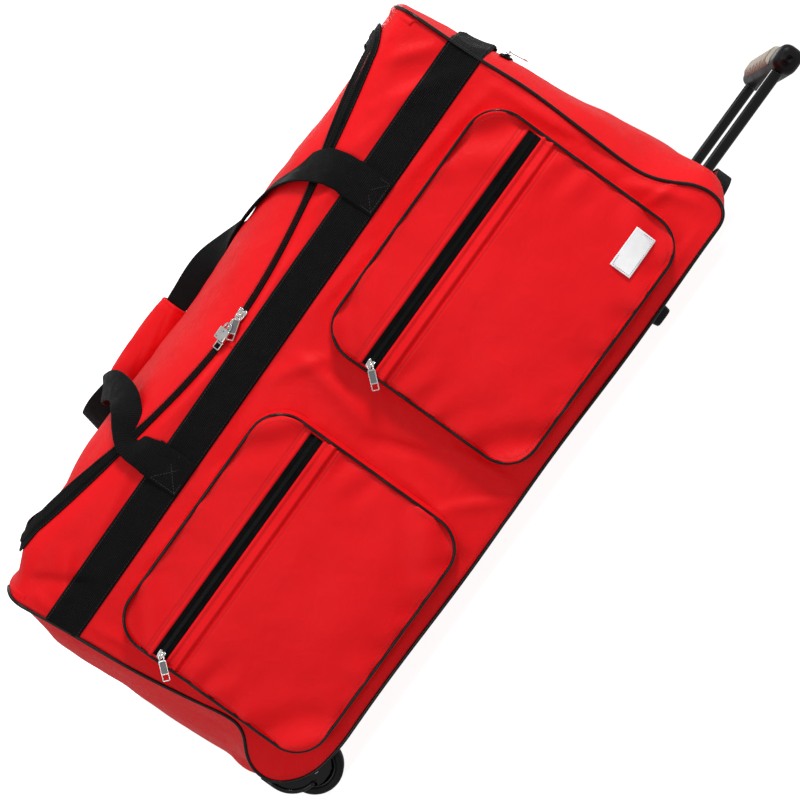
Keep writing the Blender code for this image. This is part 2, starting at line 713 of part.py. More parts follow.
# ---------------------------------------------------------------- wheels, housings and feet
def wheels():
    for facing, tag in ((-1, "front"), (1, "back")):
        y = facing * WHEEL_Y
        across = Matrix.Translation((WHEEL_X, y, WHEEL_R)) \
            @ Matrix.Rotation(math.radians(-90), 4, "X")
        half = WHEEL_W / 2
        tyre = [(0.0290, half), (0.0330, half - 0.001), (0.0350, half - 0.004),
                (0.0350, -half + 0.004), (0.0330, -half + 0.001), (0.0290, -half),
                (0.0253, -half + 0.001), (0.0253, half - 0.001)]
        turned("tyre_" + tag, tyre, 28, TYRE, across)
        rim = [(0.0250, half - 0.002), (0.0250, -half + 0.002), (0.0220, -half + 0.002),
               (0.0200, -half + 0.005), (0.0100, -half + 0.004), (0.0085, -half + 0.0005),
               (AXLE_R + 0.00009, -half + 0.0005), (AXLE_R + 0.00009, half - 0.0005),
               (0.0085, half - 0.0005), (0.0100, half - 0.004), (0.0200, half - 0.005),
               (0.0220, half - 0.002)]
        turned("rim_" + tag, rim, 28, BLACK_PLASTIC, across)
        rod("axle_" + tag, AXLE_R, -0.0185, 0.0185, 28, STEEL, across)
        housing(facing, tag)


def housing(facing, tag):
    """Moulded corner guard with two cheeks that carry the axle."""
    points = []
    left = -HALF_LENGTH
    for a in range(180, 271, 18):
        t = math.radians(a)
        points.append((left + CORNER_R + CORNER_R * math.cos(t),
                       BASE_Z - 0.0015 + CORNER_R + CORNER_R * math.sin(t)))
    points = [(left, 0.0790)] + points
    points += [(WHEEL_X - 0.014, 0.0195), (WHEEL_X - 0.006, 0.0165), (WHEEL_X + 0.006, 0.0165),
               (WHEEL_X + 0.014, 0.0195), (WHEEL_X + 0.022, 0.0262), (-0.3345, 0.0265),
               (-0.3345, 0.0790)]
    middle = facing * 0.1915
    frame = Matrix.Translation((0, middle, 0)) @ Matrix.Rotation(math.radians(90), 4, "X")
    hole = [(WHEEL_X + 0.0043 * math.cos(k * math.pi / 12),
             WHEEL_R + 0.0043 * math.sin(k * math.pi / 12)) for k in range(24)]
    guard = outline_prism("wheel_housing_" + tag, points, 0.0400, BLACK_PLASTIC, frame,
                          holes=(hole,))
    guard = curve_to_mesh(guard)
    well = rod("wheel_well_" + tag, 0.0380, -0.0150, 0.0150, 32, None,
               Matrix.Translation((WHEEL_X, facing * WHEEL_Y, WHEEL_R))
               @ Matrix.Rotation(math.radians(-90), 4, "X"), cutter=True)
    cut(guard, well)


def feet():
    for y, tag in ((-0.085, "front"), (0.085, "back")):
        box("foot_" + tag, (0.296, y - 0.014, 0.0), (0.334, y + 0.014, BASE_Z - GAP),
            BLACK_PLASTIC, bevel=0.004)


def stand_on_own_middle():
    """Shift every piece so that the footprint's middle is the origin."""
    bpy.context.view_layer.update()
    graph = bpy.context.evaluated_depsgraph_get()
    low, high = Vector((9, 9, 9)), Vector((-9, -9, -9))
    for obj in PARTS.objects:
        solid = obj.evaluated_get(graph)
        mesh = solid.to_mesh()
        for vert in mesh.vertices:
            p = obj.matrix_world @ vert.co
            low = Vector(map(min, low, p))
            high = Vector(map(max, high, p))
        solid.to_mesh_clear()
    shift = Vector((round(-(low.x + high.x) / 2, 5), round(-(low.y + high.y) / 2, 5), 0.0))
    for obj in list(PARTS.objects) + list(CUTTERS.objects):
        obj.location += shift
    return shift


shell()
bands()
FACE = 0.0
for TAG in POCKETS:
    FACE = pocket(TAG)
label()
end_zip()
fastenings(FACE)
strap("front_carry_handle", -1)
strap("rear_carry_handle", 1)
handle_wrap()
grab_handle()
telescope()
wheels()
feet()
SHIFT = stand_on_own_middle()
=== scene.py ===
"""Looks of the rolling duffel bag: soft red shell with a zipped lid, two box pockets, webbing
straps, telescopic handle and wheels. Metres. Shapes are set out in the bag's own frame, whose
middle is the middle of the base panel, and moved from there into the row frame.
"""
import math

import bpy
import numpy as np
from mathutils import Matrix, Vector, noise


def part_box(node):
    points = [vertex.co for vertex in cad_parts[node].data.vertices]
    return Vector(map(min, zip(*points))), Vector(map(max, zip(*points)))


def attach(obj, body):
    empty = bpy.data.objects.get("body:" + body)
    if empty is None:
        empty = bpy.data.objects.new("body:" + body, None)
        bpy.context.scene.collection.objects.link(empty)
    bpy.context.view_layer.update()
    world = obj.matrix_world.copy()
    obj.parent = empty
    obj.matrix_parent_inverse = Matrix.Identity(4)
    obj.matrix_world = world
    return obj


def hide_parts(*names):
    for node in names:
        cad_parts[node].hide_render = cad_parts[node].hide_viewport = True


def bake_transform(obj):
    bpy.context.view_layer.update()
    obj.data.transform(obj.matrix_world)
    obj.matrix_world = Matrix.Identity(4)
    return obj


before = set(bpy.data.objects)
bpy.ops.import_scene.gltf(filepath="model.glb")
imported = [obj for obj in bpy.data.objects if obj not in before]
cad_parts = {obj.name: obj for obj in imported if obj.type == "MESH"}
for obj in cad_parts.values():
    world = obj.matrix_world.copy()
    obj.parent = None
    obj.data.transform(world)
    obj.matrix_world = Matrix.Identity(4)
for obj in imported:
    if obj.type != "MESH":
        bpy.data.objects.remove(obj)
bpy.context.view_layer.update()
base_low, base_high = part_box("base_panel")
SX, SY = (base_low[0] + base_high[0]) / 2, (base_low[1] + base_high[1]) / 2

HL, HD, BASE = 0.4235, 0.215, 0.0275      # half length, half depth, height of the base
CROWN, SIDE_TOP, ZIP_X = 0.490, 0.400, 0.3670
PANEL_EDGE = 0.2145                       # half width of an end panel
LID_HINGE_Y = 0.1957
POCKETS = {"wheel_side": (-0.375, -0.050, 1.7), "handle_side": (0.044, 0.380, 4.1)}  # x, x, seed
POCKET_LOW, POCKET_HIGH, POCKET_R = 0.050, 0.328, 0.040
POCKET_ZIP_Z, POCKET_FACE_Y = 0.262, -0.2393
POCKET_SEAMS = (0.0150, 0.0182, -0.0150, -0.0320)   # rows of thread, from the pocket's zip
BAND_Z, BAND_W = 0.357, 0.0455            # lower edge and width of the webbing band
STRAPS = ((0.213, "handle_side"), (-0.188, "wheel_side"))
END_ZIP_Z, END_SLIDER_Y = 0.344, -0.100
WRAP_Z = 0.5052                           # middle of the padded wrap
TUBE_Y, TUBE_Z, GRIP_X = 0.100, 0.067, 0.632
WHEEL = (-0.380, 0.1925, 0.035)
WELL_Y, WELL_HALF = 0.1915, 0.0210        # middle and half width of a wheel's opening
FABRIC, WEBBING = 0.0022, 0.0012          # thicknesses
SMALL_STITCH = (0.0026, 0.0006, 0.0005)
TOOTH_ROWS = ((-0.0011, 0.0, "low"), (0.0011, 0.0008, "high"))   # offset, start, name
RIGHT_ANGLE = math.pi / 2


# ---------------------------------------------------------------- materials
class Paint:
    """A node material with short calls for the usual nodes."""

    def __init__(self, name, colour, rough, **sockets):
        self.mat = bpy.data.materials.new(name)
        self.mat.use_nodes = True
        self.tree = self.mat.node_tree
        self.shader = self.tree.nodes["Principled BSDF"]
        self.shader.inputs["Base Color"].default_value = (*colour, 1)
        self.shader.inputs["Roughness"].default_value = rough
        for key, value in sockets.items():
            self.shader.inputs[key.replace("_", " ")].default_value = value
        self.uv = self.node("ShaderNodeTexCoord").outputs["UV"]
        self.obj = self.node("ShaderNodeTexCoord").outputs["Object"]
        self.bump_in = None

    def node(self, kind, **props):
        item = self.tree.nodes.new(kind)
        for key, value in props.items():
            setattr(item, key, value)
        return item

    def put(self, value, socket):
        if isinstance(value, (int, float)):
            socket.default_value = value
        else:
            self.tree.links.new(value, socket)

    def calc(self, op, a, b=0.0, c=0.0):
        item = self.node("ShaderNodeMath", operation=op)
        for k, value in enumerate((a, b, c)):
            self.put(value, item.inputs[k])
        return item.outputs[0]

    def parts(self, vector):
        item = self.node("ShaderNodeSeparateXYZ")
        self.tree.links.new(vector, item.inputs[0])
        return item.outputs

    def noise(self, scale, detail=3.0, rough=0.5, vector=None, distortion=0.0):
        item = self.node("ShaderNodeTexNoise")
        self.tree.links.new(vector or self.obj, item.inputs["Vector"])
        item.inputs["Scale"].default_value = scale
        item.inputs["Detail"].default_value = detail
        item.inputs["Roughness"].default_value = rough
        item.inputs["Distortion"].default_value = distortion
        return item.outputs["Fac"]

    def spread(self, value, low, high, a=0.0, b=1.0):
        item = self.node("ShaderNodeMapRange")
        self.put(value, item.inputs["Value"])
        for key, number in (("From Min", low), ("From Max", high), ("To Min", a), ("To Max", b)):
            item.inputs[key].default_value = number
        return item.outputs["Result"]

    def tint(self, value, first, second, low=0.3, high=0.7):
        item = self.node("ShaderNodeMix", data_type="RGBA")
        self.tree.links.new(self.spread(value, low, high), item.inputs[0])
        item.inputs[6].default_value = (*first, 1)
        item.inputs[7].default_value = (*second, 1)
        self.tree.links.new(item.outputs[2], self.shader.inputs["Base Color"])

    def rough(self, factor, low, high):
        self.tree.links.new(self.spread(factor, 0.3, 0.7, low, high),
                            self.shader.inputs["Roughness"])

    def bump(self, height, distance, strength=1.0):
        item = self.node("ShaderNodeBump")
        item.inputs["Distance"].default_value = distance
        item.inputs["Strength"].default_value = strength
        self.tree.links.new(height, item.inputs["Height"])
        if self.bump_in is not None:
            self.tree.links.new(self.bump_in, item.inputs["Normal"])
        self.bump_in = item.outputs["Normal"]
        self.tree.links.new(self.bump_in, self.shader.inputs["Normal"])

    def wave(self, coordinate, period, shift=0.0):
        return self.calc("SINE", self.calc("MULTIPLY_ADD", coordinate, 2 * math.pi / period, shift))

    def check(self, period):
        """Threads that cross at right angles."""
        x, y, _ = self.parts(self.uv)
        return self.calc("MULTIPLY", self.wave(x, period), self.wave(y, period))


def red_fabric():
    p = Paint("red_polyester", (0.76, 0.008, 0.012), 0.5, Specular_IOR_Level=0.10)
    p.tint(p.noise(5.0, 3.0), (0.72, 0.0050, 0.0080), (0.80, 0.0090, 0.0130))
    p.rough(p.noise(210.0, 2.0), 0.40, 0.56)
    p.bump(p.noise(13.0, 2.5, 0.45, distortion=0.8), 0.0040, 0.60)
    p.bump(p.noise(42.0, 3.0, 0.5, distortion=1.2), 0.0016, 0.45)
    p.bump(p.check(0.00095), 0.00006, 0.55)
    return p.mat


def webbing():
    colour, pitch = (0.0014, 0.0014, 0.0015), 0.0034
    p = Paint("black_webbing", colour, 0.62, Specular_IOR_Level=0.11, Sheen_Weight=0.006,
              Sheen_Roughness=0.5)
    x, y, _ = p.parts(p.uv)
    one = p.calc("ADD", x, p.calc("MULTIPLY", y, 0.8))
    two = p.calc("SUBTRACT", x, p.calc("MULTIPLY", y, 0.8))
    cells = p.calc("MULTIPLY", p.wave(one, pitch), p.wave(two, pitch, 1.2))
    ribs = p.wave(y, pitch * 0.62)
    height = p.calc("MULTIPLY_ADD", ribs, 0.35, cells)
    # Painted highlight: the tint adds the weave's height to random noise, so the raised threads get
    # the lighter colour.
    light = tuple(min(1.0, c * 2.4 + 0.002) for c in colour)
    p.tint(p.calc("MULTIPLY_ADD", p.noise(60.0), 0.7, height), colour, light, -0.6, 1.3)
    p.rough(p.noise(80.0), 0.50, 0.72)
    p.bump(height, 0.00042, 0.9)
    return p.mat


def zip_tape():
    p = Paint("zip_tape", (0.003, 0.003, 0.003), 0.7, Specular_IOR_Level=0.07, Sheen_Weight=0.004,
              Sheen_Roughness=0.5)
    p.tint(p.noise(90.0), (0.0012, 0.0012, 0.0013), (0.0034, 0.0034, 0.0036))
    p.rough(p.noise(60.0), 0.60, 0.80)
    p.bump(p.check(0.0011), 0.00015, 0.8)
    return p.mat


def cord_skin():
    p = Paint("satin_piping", (0.003, 0.003, 0.003), 0.30, Specular_IOR_Level=0.28,
              Coat_Weight=0.03, Coat_Roughness=0.2)
    p.tint(p.noise(120.0), (0.0014, 0.0012, 0.0012), (0.0040, 0.0038, 0.0038))
    p.rough(p.noise(50.0), 0.24, 0.40)
    p.bump(p.noise(420.0, 2.0), 0.00012, 0.6)
    return p.mat


def moulded(name, colour, low, high, grain=900.0, depth=0.00008, **sockets):
    p = Paint(name, colour, (low + high) / 2, **sockets)
    lift = tuple(min(1.0, c * 1.4 + 0.0005) for c in colour)
    p.tint(p.noise(14.0, 4.0), colour, lift, 0.35, 0.75)
    p.rough(p.noise(26.0, 4.0), low, high)
    p.bump(p.noise(grain, 2.0), depth, 0.7)
    return p.mat


def metal(name, colour, low, high, scratch=0.00003):
    p = Paint(name, colour, (low + high) / 2, Metallic=1.0)
    p.tint(p.noise(180.0, 4.0), tuple(c * 0.82 for c in colour), colour, 0.3, 0.75)
    p.rough(p.noise(240.0, 4.0), low, high)
    p.bump(p.noise(700.0, 3.0, distortion=1.5), scratch, 0.5)
    return p.mat


def thread(name, colour):
    p = Paint(name, colour, 0.55, Sheen_Weight=0.03, Sheen_Roughness=0.4)
    p.tint(p.noise(600.0), tuple(c * 0.75 for c in colour), colour)
    p.rough(p.noise(300.0), 0.45, 0.65)
    p.bump(p.noise(1500.0, 1.0), 0.00004, 0.6)
    return p.mat


def grip_rubber():
    p = Paint("grey_soft_grip", (0.36, 0.34, 0.28), 0.7, Specular_IOR_Level=0.3)
    _, y, _ = p.parts(p.obj)
    # Painted shade: the colour follows the insert's ribs and is dark in the grooves between them,
    # mixed with random noise.
    rib = p.calc("ABSOLUTE", p.calc("SINE", p.calc("MULTIPLY_ADD", y, math.pi / 0.0088,
                                                   -SY * math.pi / 0.0088)))
    p.tint(p.calc("MULTIPLY_ADD", p.noise(40.0), 0.12, rib), (0.045, 0.042, 0.036),
           (0.37, 0.35, 0.29), 0.22, 0.58)
    p.rough(p.noise(60.0), 0.60, 0.78)
    p.bump(p.noise(1600.0, 2.0), 0.00009, 0.7)
    return p.mat


def label_weave():
    p = Paint("blank_label_weave", (0.78, 0.78, 0.80), 0.42, Specular_IOR_Level=0.55,
              Sheen_Weight=0.15, Sheen_Roughness=0.4)
    x, y, _ = p.parts(p.uv)
    satin = p.wave(p.calc("ADD", x, p.calc("MULTIPLY", y, 0.5)), 0.0007)
    p.tint(p.noise(70.0), (0.90, 0.90, 0.91), (0.97, 0.97, 0.98))
    p.rough(p.noise(200.0), 0.36, 0.50)
    p.bump(satin, 0.00005, 0.6)
    return p.mat


RED = red_fabric()
WEB = webbing()
TAPE = zip_tape()
CORD = cord_skin()
PLASTIC = moulded("black_moulded_plastic", (0.0030, 0.0030, 0.0032), 0.34, 0.48,
                  Specular_IOR_Level=0.20)
GUARD = moulded("gloss_guard_plastic", (0.0030, 0.0030, 0.0032), 0.14, 0.26, 500.0, 0.00004,
                Specular_IOR_Level=0.28, Coat_Weight=0.04, Coat_Roughness=0.08)
TUBE = moulded("gloss_black_lacquer", (0.0020, 0.0020, 0.0022), 0.10, 0.20, 1500.0, 0.00001,
               Specular_IOR_Level=0.26, Coat_Weight=0.05, Coat_Roughness=0.05)
GRIP = grip_rubber()
TYRE = moulded("tyre_rubber", (0.0040, 0.0040, 0.0042), 0.50, 0.72, 700.0, 0.00012,
               Specular_IOR_Level=0.20)
NICKEL = metal("polished_nickel", (0.90, 0.89, 0.87), 0.06, 0.13, 0.00006)
ENAMEL = moulded("grey_recess_enamel", (0.105, 0.105, 0.110), 0.32, 0.48, 1200.0, 0.00003)
STEEL = metal("satin_steel", (0.52, 0.52, 0.53), 0.22, 0.36)
TEETH = moulded("zip_coil", (0.0022, 0.0022, 0.0024), 0.34, 0.46, 1500.0, 0.00003,
                Specular_IOR_Level=0.16)
RED_THREAD = thread("red_thread", (0.50, 0.005, 0.008))
BLACK_THREAD = thread("black_thread", (0.011, 0.011, 0.012))
GREY_THREAD = thread("grey_thread", (0.20, 0.20, 0.21))
LABEL = label_weave()
BOARD = moulded("stiffener_board", (0.006, 0.006, 0.006), 0.5, 0.7)


# ---------------------------------------------------------------- making pieces
def place(obj, mat, body="shell", smooth=True):
    """Gives a new piece its material and the body it rides on."""
    obj.data.materials.clear()
    obj.data.materials.append(mat)
    if smooth:
        obj.data.polygons.foreach_set("use_smooth", [True] * len(obj.data.polygons))
    if body:
        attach(obj, body)
    return obj


def soften(obj, width, segments, degrees, name="soft_edges"):
    edge = obj.modifiers.new(name, "BEVEL")
    edge.width = width
    edge.segments = segments
    edge.limit_method = "ANGLE"
    edge.angle_limit = math.radians(degrees)


def lengths(P):
    """Distance along a polyline at each of its points."""
    return np.concatenate([[0], np.cumsum(np.linalg.norm(np.diff(P, axis=0), axis=1))])


def resample(P, at):
    """Points at given distances along a polyline."""
    s = lengths(P)
    return np.stack([np.interp(at, s, column) for column in P.T], 1)


def in_bag(matrix, points):
    """Points of a local frame, in the bag's own frame."""
    return [tuple(matrix @ Vector(p) - Vector((SX, SY, 0))) for p in points]


def strips(n, m, closed=False):
    """Faces between n rings of m points each."""
    return [(i * m + j, i * m + (j + 1) % m, (i + 1) % n * m + (j + 1) % m, (i + 1) % n * m + j)
            for i in range(n if closed else n - 1) for j in range(m)]


def capped(n, m):
    return strips(n, m) + [tuple(range(m))[::-1], tuple((n - 1) * m + j for j in range(m))]


def mesh_object(name, verts, faces, uvs=None, shift=True):
    mesh = bpy.data.meshes.new(name)
    offset = (SX, SY, 0.0) if shift else (0.0, 0.0, 0.0)
    mesh.from_pydata((np.asarray(verts, float) + offset).tolist(), [], faces)
    if uvs is not None:
        layer = mesh.uv_layers.new(name="UVMap")
        loops = np.zeros(len(mesh.loops), dtype=np.int64)
        mesh.loops.foreach_get("vertex_index", loops)
        layer.data.foreach_set("uv", np.asarray(uvs, np.float32)[loops].ravel())
    mesh.update()
    obj = bpy.data.objects.new(name, mesh)
    bpy.context.scene.collection.objects.link(obj)
    return obj


def grid(name, points, mat, body="shell", flip=False, thick=0.0, side=-1.0, wrap=False):
    """A sheet through rows of points, with its own lengths in metres as UVs."""
    P = np.asarray(points, float)
    rows, cols = P.shape[:2]
    along = np.zeros((rows, cols))
    along[:, 1:] = np.cumsum(np.linalg.norm(np.diff(P, axis=1), axis=2), axis=1)
    along[:] = along[rows // 2]
    up = np.zeros((rows, cols))
    up[1:] = np.cumsum(np.linalg.norm(np.diff(P, axis=0), axis=2), axis=0)
    up[:] = up[:, cols // 2][:, None]
    faces = []
    for i in range(rows - 1):
        for j in range(cols - (0 if wrap else 1)):
            k = (j + 1) % cols
            f = (i * cols + j, i * cols + k, (i + 1) * cols + k, (i + 1) * cols + j)
            faces.append(f[::-1] if flip else f)
    obj = mesh_object(name, P.reshape(-1, 3), faces, np.stack([along, up], -1).reshape(-1, 2))
    if thick:
        solid = obj.modifiers.new("thickness", "SOLIDIFY")
        solid.thickness = thick
        solid.offset = side
    return place(obj, mat, body)


def catmull(stations, count):
    S = np.asarray(stations, float)
    S = np.vstack([2 * S[0] - S[1], S, 2 * S[-1] - S[-2]])
    spans = len(S) - 3
    t = np.linspace(0, spans, count)
    i = np.minimum(t.astype(int), spans - 1)
    f = (t - i)[:, None]
    a, b, c, d = S[i], S[i + 1], S[i + 2], S[i + 3]
    return 0.5 * (2 * b + (c - a) * f + (2 * a - 5 * b + 4 * c - d) * f ** 2
                  + (3 * b - a - 3 * c + d) * f ** 3)


def unit(v):
    return v / np.maximum(np.linalg.norm(v, axis=-1, keepdims=True), 1e-9)


SECTION = [(-1, -.3), (-.975, -.85), (-.88, -1), (-.5, -1), (0, -1), (.5, -1), (.88, -1),
           (.975, -.85), (1, -.3), (1, .3), (.975, .85), (.88, 1), (.5, 1), (0, 1), (-.5, 1),
           (-.88, 1), (-.975, .85), (-1, .3)]


def ribbon(name, centre, normal, width, thick, mat, body="shell"):
    """Flat webbing along a path, with soft edges; normals, widths and thicknesses per point."""
    C = np.asarray(centre, float)
    n = len(C)
    T = unit(np.gradient(C, axis=0))
    N = np.asarray(normal, float)
    N = unit(N - (N * T).sum(1, keepdims=True) * T)
    W = np.cross(T, N)
    width = np.broadcast_to(width, n)[:, None]
    thick = np.broadcast_to(thick, n)[:, None]
    rings = [C + W * a * width / 2 + N * b * thick / 2 for a, b in SECTION]
    P = np.stack(rings, 1)
    m = len(SECTION)
    uv = np.zeros((n, m, 2))
    uv[:, :, 0] = np.array([a for a, _ in SECTION])[None] * width / 2
    uv[:, :, 1] = lengths(C)[:, None]
    return place(mesh_object(name, P.reshape(-1, 3), capped(n, m), uv.reshape(-1, 2)), mat, body)


def tube(name, points, radius, mat, body="shell", closed=False, sides=10):
    """A round cord along points in the bag's frame."""
    P = np.asarray(points, float)
    T = unit(np.roll(P, -1, 0) - np.roll(P, 1, 0) if closed else np.gradient(P, axis=0))
    A = unit(np.cross(T, np.array([0.0, 1.0, 0.0]) + 1e-6))
    B = np.cross(T, A)
    ang = np.linspace(0, 2 * math.pi, sides, endpoint=False)
    G = np.stack([P + radius * (math.cos(t) * A + math.sin(t) * B) for t in ang], 1)
    n = len(P)
    uv = np.zeros((n, sides, 2))
    uv[:, :, 0] = ang[None] * radius
    uv[:, :, 1] = lengths(P)[:, None]
    faces = strips(n, sides, True) if closed else capped(n, sides)
    return place(mesh_object(name, G.reshape(-1, 3), faces, uv.reshape(-1, 2)), mat, body)


def many(name, centres, along, normal, size, mat, body="shell", round_ends=False):
    """Many small blocks in one mesh: stitches or zip teeth. size is length, width, height."""
    C, X, Z = (np.asarray(v, float) for v in (centres, along, normal))
    X = unit(X)
    Z = unit(Z - (Z * X).sum(1, keepdims=True) * X)
    Y = np.cross(Z, X)
    a, b, h = size[0] / 2, size[1] / 2, size[2] / 2
    k = 0.62 if round_ends else 0.92
    corners = [(-a, -b * k, -h * k), (-a, b * k, -h * k), (-a, b * k, h * k), (-a, -b * k, h * k),
               (0, -b, -h), (0, b, -h), (0, b, h), (0, -b, h),
               (a, -b * k, -h * k), (a, b * k, -h * k), (a, b * k, h * k), (a, -b * k, h * k)]
    verts = np.stack([C + X * p + Y * q + Z * r for p, q, r in corners], 1).reshape(-1, 3)
    pattern = [(3, 2, 1, 0), (8, 9, 10, 11)]
    for s in (0, 4):
        pattern += [(s + j, s + (j + 1) % 4, s + 4 + (j + 1) % 4, s + 4 + j) for j in range(4)]
    faces = [tuple(12 * i + q for q in f) for i in range(len(C)) for f in pattern]
    return place(mesh_object(name, verts, faces), mat, body, smooth=False)


def along_path(P, pitch, start=0.0):
    """Points and directions every pitch along a polyline."""
    P = np.asarray(P, float)
    at = np.arange(start + pitch / 2, lengths(P)[-1], pitch)
    return resample(P, at), unit(resample(P, at + 1e-3) - resample(P, at - 1e-3))


def stitches(name, P, normal, mat, body="shell", pitch=0.0042, lift=0.0002):
    Q, D = along_path(P, pitch)
    N = np.broadcast_to(np.asarray(normal, float), Q.shape)
    return many(name, Q + N * lift, D, N, (pitch * 0.68, 0.0006, 0.0005), mat, body, True)


def small_teeth(name, line, normal, start):
    """The teeth of one side of a pocket's zip."""
    Q, D = along_path(line, 0.0017, start)
    N = np.broadcast_to(normal, Q.shape)
    many(name, Q, np.cross(N, D), N, (0.0026, 0.0010, 0.0011), TEETH)


def plate(name, loops, thick, bevel, mat, body, matrix):
    """A flat shape with holes and rounded edges."""
    curve = bpy.data.curves.new(name, "CURVE")
    curve.dimensions = "2D"
    curve.fill_mode = "BOTH"
    curve.extrude = max(thick / 2 - bevel, 0.00001)
    curve.bevel_depth = bevel
    curve.offset = -bevel
    curve.bevel_resolution = 2
    for loop in loops:
        spline = curve.splines.new("POLY")
        spline.points.add(len(loop) - 1)
        for target, (x, y) in zip(spline.points, loop):
            target.co = (x, y, 0.0, 1.0)
        spline.use_cyclic_u = True
    holder = bpy.data.objects.new(name, curve)
    bpy.context.scene.collection.objects.link(holder)
    bpy.context.view_layer.update()
    mesh = bpy.data.meshes.new_from_object(holder.evaluated_get(
        bpy.context.evaluated_depsgraph_get()))
    bpy.data.objects.remove(holder)
    mesh.transform(matrix)
    mesh.name = name
    obj = bpy.data.objects.new(name, mesh)
    bpy.context.scene.collection.objects.link(obj)
    return place(obj, mat, body, smooth=False)


def rounded(x0, y0, x1, y1, r, steps=5):
    out = []
    for cx, cy, start in ((x1 - r, y1 - r, 0), (x0 + r, y1 - r, 90), (x0 + r, y0 + r, 180),
                          (x1 - r, y0 + r, 270)):
        for k in range(steps + 1):
            t = math.radians(start + 90 * k / steps)
            out.append((cx + r * math.cos(t), cy + r * math.sin(t)))
    return out


def frame_at(point, along, outward):
    e1 = Vector(along).normalized()
    e3 = Vector(outward)
    e3 = (e3 - e1 * e3.dot(e1)).normalized()
    e2 = e3.cross(e1)
    rot = Matrix((e1, e2, e3)).transposed().to_4x4()
    return Matrix.Translation(Vector(point) + Vector((SX, SY, 0))) @ rot


def turned(name, profile, matrix, mat, body="shell", steps=64):
    """A profile of (radius, height) pairs turned round local Z."""
    prof = np.asarray(profile, float)
    ang = np.linspace(0, 2 * math.pi, steps, endpoint=False)
    P = np.stack([np.stack([prof[:, 0] * math.cos(t), prof[:, 0] * math.sin(t), prof[:, 1]], 1)
                  for t in ang], 1)
    n, m = P.shape[:2]
    obj = mesh_object(name, P.reshape(-1, 3), strips(n, m, True), shift=False)
    obj.data.transform(matrix)
    soften(obj, 0.0005, 2, 30)
    return place(obj, mat, body)


def facing_x(x, y):
    """A frame whose Z runs along the bag, at the height of the telescope's tubes."""
    return Matrix.Translation((SX + x, SY + y, TUBE_Z)) @ Matrix.Rotation(RIGHT_ANGLE, 4, "Y")


def facing_side(x, y, z, side):
    """A frame whose Z points out to the front (side -1) or the back (side 1)."""
    turn = Matrix.Rotation(-side * RIGHT_ANGLE, 4, "X")
    return Matrix.Translation((SX + x, SY + side * y, z)) @ turn


# ---------------------------------------------------------------- the soft surface
def end_rise(x):
    """0 in the middle of the length, 1 at the stiffer ends."""
    return np.clip(np.abs(x) / 0.375, 0, 1) ** 1.85


def smooth(t):
    t = np.clip(t, 0, 1)
    return t * t * (3 - 2 * t)


def shoulder(x, back=False):
    e = 0 * x if back else end_rise(x)
    drop = 0.026 * smooth((-x - 0.340) / 0.080)
    low = SIDE_TOP + 0.047 * e - (0.3 if back else 0.85) * drop
    crown = CROWN - 0.004 * (1 - end_rise(x)) - drop
    return low, crown, 2.6 + 3.4 * e, 0.62 - 0.14 * e


def roof(x, theta):
    """The surface over the top: theta runs from 0 at the front's top edge to pi at the back's."""
    x, theta = np.broadcast_arrays(np.asarray(x, float), np.asarray(theta, float))
    front = theta < math.pi / 2
    out_y, out_z = np.zeros(x.shape), np.zeros(x.shape)
    for back in (False, True):
        low, crown, n, m = shoulder(x, back)
        t = np.clip(np.where(front, theta, math.pi - theta), 0, math.pi / 2)
        y = HD * np.cos(t) ** (2 / n)
        z = low + (crown - low) * np.sin(t) ** (2 * m)
        pick = front if not back else ~front
        out_y = np.where(pick, y if back else -y, out_y)
        out_z = np.where(pick, z, out_z)
    return np.stack([x, out_y, out_z], -1)


def zip_theta(x):
    return math.radians(15.2) + math.radians(31.0) * end_rise(x)


def tape_reach(x, side):
    """Width of the zip tape that shows, below the chain (side -1) and above it (side 1)."""
    s = smooth((np.abs(x) - 0.130) / 0.200)
    return 0.0042 + (0.0098 if side < 0 else 0.0118) * s


def back_theta():
    return math.pi - math.acos((LID_HINGE_Y / HD) ** 1.3)


def right_edge(z):
    pts = [(.0240, .396), (.0255, .418), (.031, .432), (.043, .4405), (.060, .4425), (.080, .4375),
           (.097, .428), (.118, .4185), (.139, .4135), (.169, .4125), (.225, .414), (.299, .415),
           (.368, .410), (.418, .408), (.490, .406)]
    return np.interp(z, *catmull(pts, 160).T)


def left_edge(z):
    pts = [(.0265, -.345), (.0300, -.372), (.040, -.396), (.058, -.4155), (.076, -.4225),
           (.094, -.421), (.111, -.411), (.130, -.3925), (.155, -.388), (.218, -.399),
           (.285, -.409), (.380, -.4175), (.430, -.4235), (.449, -.4245), (.4600, -.4215),
           (.4680, -.4130), (.490, -.3980)]
    return np.interp(z, *catmull(pts, 160).T)


